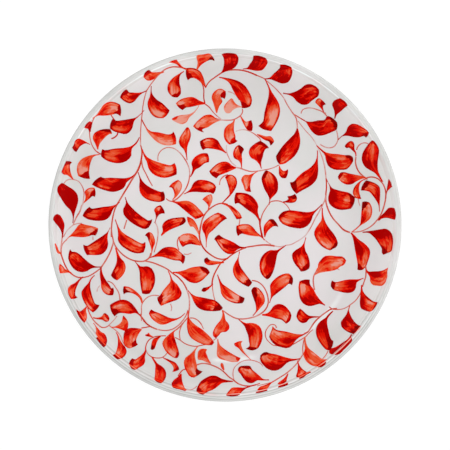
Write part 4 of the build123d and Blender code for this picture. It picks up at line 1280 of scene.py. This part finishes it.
# Each stem: its depth of colour from 0 to 9, its width at its start and end, and its middle line, in squares.
STEMS = (
    (3, 1.8, 1.3, (187, 69, 180, 67.3, 172, 67, 165, 69.5, 160, 73.5, 155, 79, 150, 85.5, 146.5, 91)),
    (2, 1.3, 1.3, (146.5, 91, 144.5, 98, 143, 106, 142, 115, 141.3, 122, 140.7, 130, 140.5, 137,
      140.6, 145)),
    (6, 1.5, 2.4, (140.6, 145, 142, 152, 141.5, 158, 140, 165, 137.5, 171)),
    (4, 2.2, 1.5, (137.5, 171, 133, 178, 127, 188, 121, 198, 115, 209, 112.5, 219, 111.5, 228, 111.3, 237)),
    (4, 1.5, 1.2, (101, 154.3, 96, 151, 92, 145, 90, 138, 89.5, 131)),
    (2, 1.5, 1.2, (94, 117.5, 92.3, 122, 91.3, 126, 90, 131.5)),
    (5, 1.3, 1.3, (111, 115, 113, 118, 115.5, 121)),
    (8, 1.6, 1.8, (118, 132, 117, 135, 114, 137.7, 111.3, 138.7)),
    (2, 1.1, 1.3, (73, 179.5, 78, 181, 82, 186, 84, 193, 83.5, 199, 82.5, 205)),
    (0, 1.1, 1.3, (64, 183.5, 66.5, 180.5, 71, 179.3, 73.5, 179.5)),
    (1, 2.0, 1.5, (83.5, 202.5, 81.5, 206.5, 80, 211, 76, 218, 73.3, 224.5)),
    (2, 1.2, 1.2, (73.5, 224.8, 78, 223.5, 82, 223.3)),
    (3, 1.4, 1.4, (126.8, 220, 125.5, 224, 124, 229)),
    (4, 1.3, 1.6, (141.5, 119, 143.5, 123, 146.5, 128.5)),
    (3, 1.6, 1.3, (141.5, 160, 143, 168, 146, 174, 149.5, 181, 152.5, 186)),
    (2, 1.1, 1.5, (158, 161, 158.3, 155, 162, 149.8, 168, 147.5, 174, 148.5, 179, 152, 183, 156.5,
      186.5, 162, 189, 168, 189.8, 175)),
    (3, 1.5, 1.7, (189.8, 175, 188.5, 182, 185, 190, 181, 195, 176, 199.5, 172, 201.3)),
    (4, 1.1, 1.4, (166, 198.5, 169, 200.7, 175, 201.5)),
    (0, 1.2, 1.3, (226.5, 145, 226.7, 152, 229, 158, 232, 163, 236, 166)),
    (3, 1.2, 1.7, (219.5, 185, 220.5, 180, 223.5, 176.5, 228, 174.8)),
    (4, 2.0, 1.5, (199.3, 236, 200.5, 227, 202.5, 219, 205, 214, 208.5, 210, 213, 206.5, 218, 204,
      222, 203.3, 228, 204.5)),
    (8, 1.5, 1.1, (205, 104, 203.7, 97, 203.8, 90, 201, 82, 197, 79)),
    (6, 1.3, 1.8, (205.5, 88, 207.5, 84, 210, 81, 214, 78, 219, 74.5, 223, 72, 228, 70.3)),
    (6, 1.6, 1.8, (228, 70.3, 235, 69.8, 242, 70.3, 250, 72.5, 257, 75.5)),
    (4, 1.3, 1.4, (257, 75.5, 262, 77.5, 265, 79)),
    (1, 1.2, 1.5, (265, 79.5, 270, 83.5, 277, 90, 283, 97, 288, 106, 292, 112, 296, 118, 297.3, 126,
      297.5, 132)),
    (3, 1.2, 1.4, (294.5, 114.5, 300, 118, 305, 121)),
    (0, 1.0, 1.1, (298, 121, 305, 130, 313, 139, 317, 146)),
    (2, 1.2, 1.4, (301, 113.5, 302.5, 110, 306, 108.3, 311, 108, 317, 109.5, 322, 111.5, 326, 113.5)),
    (0, 1.2, 1.2, (228, 91.5, 232, 92.7, 236, 95.5, 239, 100)),
    (3, 1.3, 1.4, (242.3, 109, 242.7, 111.5, 241, 115, 237, 118, 233, 119.8, 228, 120.2, 222, 120,
      216, 119.3)),
    (3, 1.4, 1.2, (205, 104, 209, 107, 213, 112, 217, 116, 221, 119)),
    (1, 1.1, 1.4, (235.5, 131.5, 240, 130, 246, 130, 252, 132.5, 257, 136, 260, 139, 261, 141.5)),
    (1, 1.8, 1.3, (235, 167.3, 240, 168.2, 245, 170, 251, 171.5, 258, 171, 264, 170)),
    (2, 1.3, 1.2, (264, 170, 270, 168.8, 275, 167, 279, 164.8)),
    (3, 1.2, 1.4, (269, 204, 266, 208, 263, 213, 261, 219, 260, 225)),
    (9, 1.6, 2.4, (259.5, 218, 260, 225, 261, 231, 262.5, 238)),
    (4, 1.3, 1.1, (269, 203.5, 271, 201.7, 274, 201, 279, 201, 284, 203, 288, 207, 290, 210.5)),
    (3, 1.0, 1.2, (240, 218.5, 239.5, 222, 239, 225)),
    (3, 1.4, 1.5, (322, 111.5, 325, 114, 327.5, 117)),
    (2, 1.2, 1.5, (336.5, 130.5, 337.5, 135, 337.8, 140, 336.5, 143.5, 334, 146.5, 330, 147.8, 325, 147,
      320, 144.3)),
    (1, 1.2, 1.5, (317, 146, 320, 152, 323, 160, 325, 169, 326, 178)),
    (4, 1.5, 2.0, (326, 178, 326.5, 187, 325.8, 195, 326, 202, 328, 209, 332, 217, 338, 224, 344, 230,
      350, 232.5)),
    (1, 1.6, 1.4, (326, 195, 324.5, 201, 322, 206, 319, 212, 315, 219, 311, 227, 306, 235)),
    (3, 1.6, 1.7, (356, 157, 355.5, 162, 356.5, 167, 359, 172, 363, 176, 367.5, 179.5)),
    (2, 1.5, 1.1, (356.5, 150, 358, 146.5, 361, 143.8, 365, 142.8, 369, 144.3)),
    (4, 1.5, 1.7, (364, 180, 368, 177.5, 372, 177, 377, 178.3, 381, 181.5, 384, 186, 385.7, 192, 385.5, 199,
      384, 206)),
    (3, 1.7, 1.2, (384, 206, 382, 212, 378, 219, 372, 225.5, 366, 229.3, 360, 231.5, 352, 232)),
    (1, 1.2, 1.0, (358, 197, 358.5, 201, 360, 206)),
    (1, 1.4, 1.3, (73.5, 224.8, 69, 228.5, 65.5, 233, 63.5, 237)),
    (1, 1.6, 1.8, (62.3, 235, 61.7, 242, 61, 248, 61.2, 254)),
    (2, 1.3, 1.4, (67, 239.5, 63, 243.5, 61, 250)),
    (4, 1.8, 1.4, (61, 254, 63, 260, 65.5, 266, 69, 271.5, 73, 275, 78, 277.3, 83, 277.5, 89, 276,
      95, 272.5, 101, 268)),
    (3, 1.7, 1.8, (111.3, 228, 112, 235, 113.3, 241, 112, 247, 109.5, 253.5, 106, 260, 101.5, 267)),
    (4, 1.6, 1.8, (113.3, 241, 116, 247, 120, 252, 126, 257, 132, 260, 138, 261.3, 145, 260.8, 149, 258,
      151, 253)),
    (1, 1.6, 1.4, (92.8, 236.5, 93, 240)),
    (1, 1.2, 1.3, (100, 285.5, 97.5, 289, 97, 291.5)),
    (3, 1.2, 1.4, (107.5, 281, 112, 283, 116, 288, 119, 293.5, 120, 300)),
    (3, 1.5, 1.7, (87.5, 307.5, 89, 312, 92, 318, 95, 322, 99, 325.5)),
    (2, 1.2, 1.1, (117, 316, 114, 320, 109, 325)),
    (2, 1.1, 1.3, (141.4, 321, 141.5, 312, 142, 304, 144.5, 300, 149, 296.5, 154, 295.3, 159, 295.7)),
    (2, 1.2, 1.3, (155, 222.5, 157, 226, 158, 231, 157.5, 239, 156, 246, 154, 252.5)),
    (4, 1.6, 1.8, (145, 261, 152, 262.5, 160, 265.5, 167, 269, 173, 273.5, 179, 278, 184, 284, 187, 290)),
    (1, 1.8, 1.6, (187, 290, 189, 297, 189.5, 304, 189, 311, 188, 318)),
    (5, 1.3, 1.4, (179, 250, 177.5, 245, 177.7, 240, 179.5, 236.5)),
    (2, 1.2, 1.0, (184, 254, 188, 254.3, 191.5, 252.7)),
    (5, 2.0, 1.6, (199.3, 234, 200, 240, 202, 245.5, 206, 251, 211, 255, 217, 258.3, 223, 259.3,
      228, 258.3)),
    (6, 1.5, 1.8, (246, 247.7, 240, 250, 233, 254, 227, 258.5, 221, 263, 217, 269, 214, 275, 212.3, 281,
      212, 285)),
    (2, 1.2, 1.2, (212.3, 284, 212.7, 290, 214, 297, 215, 300.5)),
    (2, 1.2, 1.1, (170.5, 304, 171.7, 308, 171, 311)),
    (3, 1.4, 1.4, (190, 318, 194, 318.3, 198, 320.5, 201.5, 324.5)),
    (1, 1.1, 1.0, (265.5, 240.5, 268, 242.5, 271, 244.3)),
    (4, 1.5, 2.1, (241, 249, 246, 247.3, 253, 246.2, 260, 245.2, 267, 245, 274.7, 246)),
    (0, 1.3, 1.2, (275, 246, 280, 246.7, 284, 246)),
    (0, 1.4, 1.1, (306, 235, 301, 239, 296, 242, 291, 244.5, 286, 245.2)),
    (4, 1.4, 1.7, (252, 280.5, 257, 281.5, 262, 285, 266, 291, 268, 298, 268, 304, 265.5, 309.5,
      261, 313.5)),
    (2, 1.7, 1.5, (261, 313.5, 256, 316.3, 250, 318, 243, 319, 236, 318.3, 230, 315.5, 223, 310.5)),
    (4, 1.6, 1.5, (318, 271, 314.7, 274, 313.3, 279, 313.5, 284, 314.5, 290)),
    (4, 1.3, 1.2, (315, 317.3, 321, 316.5)),
    (4, 1.6, 1.5, (365.7, 266, 366, 271, 365.8, 276, 364, 282, 362.3, 287)),
    (3, 1.3, 1.2, (362, 289, 360, 294, 356, 300, 350, 305, 344, 308.5, 338, 309.5, 332, 308.8, 329, 306.7)),
    (4, 1.4, 1.7, (337, 308.5, 331, 309.3, 325, 313, 321, 316, 316, 320.5, 312.5, 325)),
    (4, 1.3, 1.6, (350, 305, 348.8, 309, 348.3, 312)),
    (1, 0.9, 0.6, (337, 268.7, 339.7, 270)),
    (3, 1.6, 1.2, (99, 325.7, 102, 327.4, 105.5, 327.3, 109, 325.3)),
    (2, 1.3, 1.1, (109, 325.5, 113, 328.3, 117, 331.5, 120.5, 336, 122.5, 341, 125.5, 346.5)),
    (4, 2.0, 1.7, (139.5, 314, 143, 319, 146.5, 323.5, 151, 326.7, 157, 329.3)),
    (2, 1.5, 1.4, (157, 329.3, 164, 330.5, 171, 329.7, 177, 326.5, 182, 321.5, 185.5, 316.5, 188, 310)),
    (4, 1.4, 1.3, (141.5, 328, 146, 327.3, 151, 326.3)),
    (3, 1.5, 1.2, (188, 317.5, 184, 322, 181, 327, 179.5, 333, 180.3, 340)),
    (4, 1.5, 1.6, (183, 323, 180, 326.5, 176, 330)),
    (3, 1.3, 1.2, (175, 337.5, 180, 340, 184, 343, 190, 345.5, 196, 346.3, 203, 345, 209, 344)),
    (5, 1.3, 1.4, (166, 335.8, 160, 336, 154, 337, 149, 340, 146.5, 344, 145.5, 349)),
    (3, 1.3, 1.1, (146, 350, 148, 354, 152, 357, 157, 358, 162, 357.5, 165.5, 355, 168, 351.5)),
    (3, 1.5, 1.6, (196.5, 365, 202, 363.5, 208, 364, 214, 366, 220, 369, 225, 373, 229, 377, 233, 379.5)),
    (6, 1.4, 1.2, (187, 369, 183, 370, 180, 373, 178, 376)),
    (2, 1.1, 1.0, (213.5, 340.3, 217, 337.8)),
    (2, 1.2, 1.0, (201.5, 324.5, 203.5, 329)),
    (2, 0.8, 0.9, (186.5, 390, 190, 390, 194, 388.5, 197, 386)),
    (2, 1.2, 1.1, (328, 351, 325.5, 355.5, 322.5, 359)),
    (3, 1.3, 1.2, (313, 329.5, 309, 333, 306, 336.5)),
    (2, 1.7, 1.8, (312.5, 325, 310.3, 328.7, 308, 331.7, 304, 333.7)),
    (3, 1.2, 1.3, (306, 336.5, 300, 340.3, 293, 344.5)),
    (3, 1.4, 1.2, (305, 337, 303.3, 343, 302.7, 349, 303, 355)),
    (3, 1.3, 1.5, (302.5, 355, 300, 359, 297, 363.3, 292, 368.5, 286, 373.5, 279, 378, 273, 381.7)),
    (3, 1.0, 0.8, (271, 382.5, 264, 384.2, 257, 386)),
    (3, 1.3, 1.1, (276.5, 328, 275.3, 325.3, 271.5, 324.5, 267.5, 328, 265.3, 333, 266, 338, 269, 342,
      273.5, 345.3, 279, 345.7)),
    (1, 1.2, 1.0, (234, 380, 233, 375, 234, 368.5, 238, 364, 243, 361, 249, 360, 256, 361.3, 260.5, 363.5,
      263, 366.5)),
    (4, 1.7, 1.3, (233, 379.5, 238, 383.5, 245, 385.8, 252, 385.8, 260, 383.3)),
)


def lay_leaves():
    """The leaves as films: those on the well and flank in one piece, those that climb the wall in another."""
    near, rim = ([], []), ([], [])
    seeds = rng.random(len(LEAVES))
    for seed, (tone, water, pool, lean, side_a, side_b) in zip(seeds, LEAVES):
        squares = np.array(side_a + side_b, float).reshape(-1, 2)
        climbs = np.linalg.norm(on_plate(squares), axis=1).max() > RIM_STROKES_FROM
        grids, marks = rim if climbs else near
        grids.append(stroke_grid(side_a, side_b, *(RIM_STROKE_GRID if climbs else STROKE_GRID)))
        middle = (smooth_line(side_a, STATIONS) + smooth_line(side_b, STATIONS)) / 2
        length = np.linalg.norm(np.diff(middle, axis=0), axis=1).sum()
        drop = np.clip((DROP_LENGTH + DROP_GROWTH * pool) / length, DROP_SHORTEST, DROP_LONGEST)
        depth = LEAF_PALEST + tone * LEAF_STEP
        darkened = min(1.0, (pool / FULL_POOL) ** POOL_CURVE)
        marks.append((depth, water * WATER_STEP, darkened, lean, seed, drop))
    colour = leaf_colour("red_leaf_strokes", RED_SHEEN, on_wall=False)
    rim_colour = leaf_colour("red_rim_strokes", RIM_RED_SHEEN, on_wall=True)
    painted_piece("painted_leaves", *near, FILM, LEAF_MARKS, colour)
    painted_piece("painted_rim_leaves", *rim, RIM_FILM, LEAF_MARKS, rim_colour)


def lay_stems():
    """The stems as ribbons: the middle line moved half the tapering width to each side along its normal."""
    grids, marks = [], []
    for tone, start, end, line in STEMS:
        points = np.array(line, float).reshape(-1, 2)
        length = np.linalg.norm(np.diff(points, axis=0), axis=1).sum()
        along = np.linspace(0, 1, int(length / STEM_STEP) + STEM_ROWS)
        middle = smooth_line(line, along)
        heading = np.gradient(middle, axis=0)
        normal = np.stack([-heading[:, 1], heading[:, 0]], axis=1)
        normal /= np.linalg.norm(heading, axis=1, keepdims=True)
        half = STEM_SPREAD * (start + (end - start) * along)[:, None] / 2 * normal
        across = np.linspace(-1, 1, STEM_ACROSS)
        grids.append(middle[:, None] + half[:, None] * across[None, :, None])
        marks.append((STEM_PALEST + tone * STEM_DEEPER,))
    painted_piece("painted_stems", grids, marks, STEM_FILM, ("tone",), stem_colour())


def build_plate():
    """The plate's own three pieces, each standing for its node of the plain model."""
    glaze, clay = glaze_colour(), clay_colour()
    coat = GLAZE_THICKNESS
    upper = np.concatenate([
        eating_face(coat, 1), back_face(coat, 1), back_face(0, 1)[::-1], eating_face(0, 1)[::-1][::2],
    ])
    upper[-1] = (0, WELL_LEVEL - coat)
    turned_piece("glazed_face_and_back", upper, glaze, "upper_glaze", sunk_and_ringed)
    body = np.concatenate([eating_face(0, 1), back_face(0, 1)[:-1], standing_face(2), foot_recess(0, 1)[1:]])
    turned_piece("clay_plate", body, clay, "clay_body", sunk)
    base = np.concatenate([foot_recess(0, 1)[::-1], foot_recess(coat, BASE_DETAIL)])
    turned_piece("glazed_base", base, glaze, "base_glaze", turned_base)


def soft_lamp(name, position, size, power):
    """A square soft lamp facing the plate's middle."""
    data = bpy.data.lights.new(name, "AREA")
    data.size, data.energy = size, power
    lamp = bpy.data.objects.new(name, data)
    lamp.location = position
    direction = np.array(position) / np.linalg.norm(position)
    lamp.rotation_euler = (math.acos(direction[2]), 0, math.atan2(direction[0], -direction[1]))
    bpy.context.scene.collection.objects.link(lamp)


def light_scene():
    """A pale tent, brightest at the sides and dark overhead, and one wide soft lamp to the right."""
    world = bpy.data.worlds.new("pale_tent")
    bpy.context.scene.world = world
    world.use_nodes = True
    tree = world.node_tree
    back = tree.nodes["Background"]
    back.inputs["Color"].default_value = hue(*TENT_WHITE)
    height = parts_of(tree, node(tree, "ShaderNodeTexCoord").outputs["Generated"])[2]
    low = ramp_up(tree, height, *TENT_RISE, TENT_FOOT, TENT_SIDE)
    high = ramp_up(tree, height, *TENT_FALL, 1.0, TENT_TOP / TENT_SIDE)
    tree.links.new(product(tree, low, high), back.inputs["Strength"])
    soft_lamp("lamp_right", LAMP_PLACE, LAMP_SIZE, LAMP_POWER)


def lay_floor():
    """A wide white floor: it shows as white where seen straight and still takes the plate's soft shadow."""
    corners = [(x * FLOOR_HALF, y * FLOOR_HALF, 0) for x, y in ((-1, -1), (1, -1), (1, 1), (-1, 1))]
    mesh = bpy.data.meshes.new("floor")
    mesh.from_pydata(corners, [], [(0, 1, 2, 3)])
    floor = bpy.data.objects.new("floor", mesh)
    bpy.context.scene.collection.objects.link(floor)
    material, tree, shader = new_material("white_floor")
    shader.inputs["Base Color"].default_value = hue(*FLOOR_WHITE)
    shader.inputs["Roughness"].default_value = FLOOR_ROUGHNESS
    path = node(tree, "ShaderNodeLightPath").outputs
    seen = calc(tree, "MAXIMUM", path["Is Camera Ray"], path["Is Glossy Ray"])
    seen = calc(tree, "MAXIMUM", seen, path["Is Transmission Ray"])
    glow = node(tree, "ShaderNodeEmission", {"Color": (1, 1, 1, 1), "Strength": GLOW_STRENGTH})
    parts = {0: product(tree, seen, FLOOR_GLOW), 1: shader.outputs[0], 2: glow.outputs[0]}
    both = node(tree, "ShaderNodeMixShader", parts).outputs[0]
    tree.links.new(both, tree.nodes["Material Output"].inputs["Surface"])
    mesh.materials.append(material)


def place_camera():
    """A long lens straight above the plate's middle, the top of its view towards +Y."""
    data = bpy.data.cameras.new("eye")
    data.lens, data.sensor_width = LENS, SENSOR
    data.dof.use_dof = False
    data.clip_start, data.clip_end = NEAREST, FURTHEST
    camera = bpy.data.objects.new("eye", data)
    camera.location = (0, 0, EYE_HEIGHT * MM)
    bpy.context.scene.collection.objects.link(camera)
    bpy.context.scene.camera = camera


place_camera()
light_scene()
lay_floor()
build_plate()
lay_leaves()
lay_stems()

bpy.context.scene.view_settings.view_transform = "Standard"
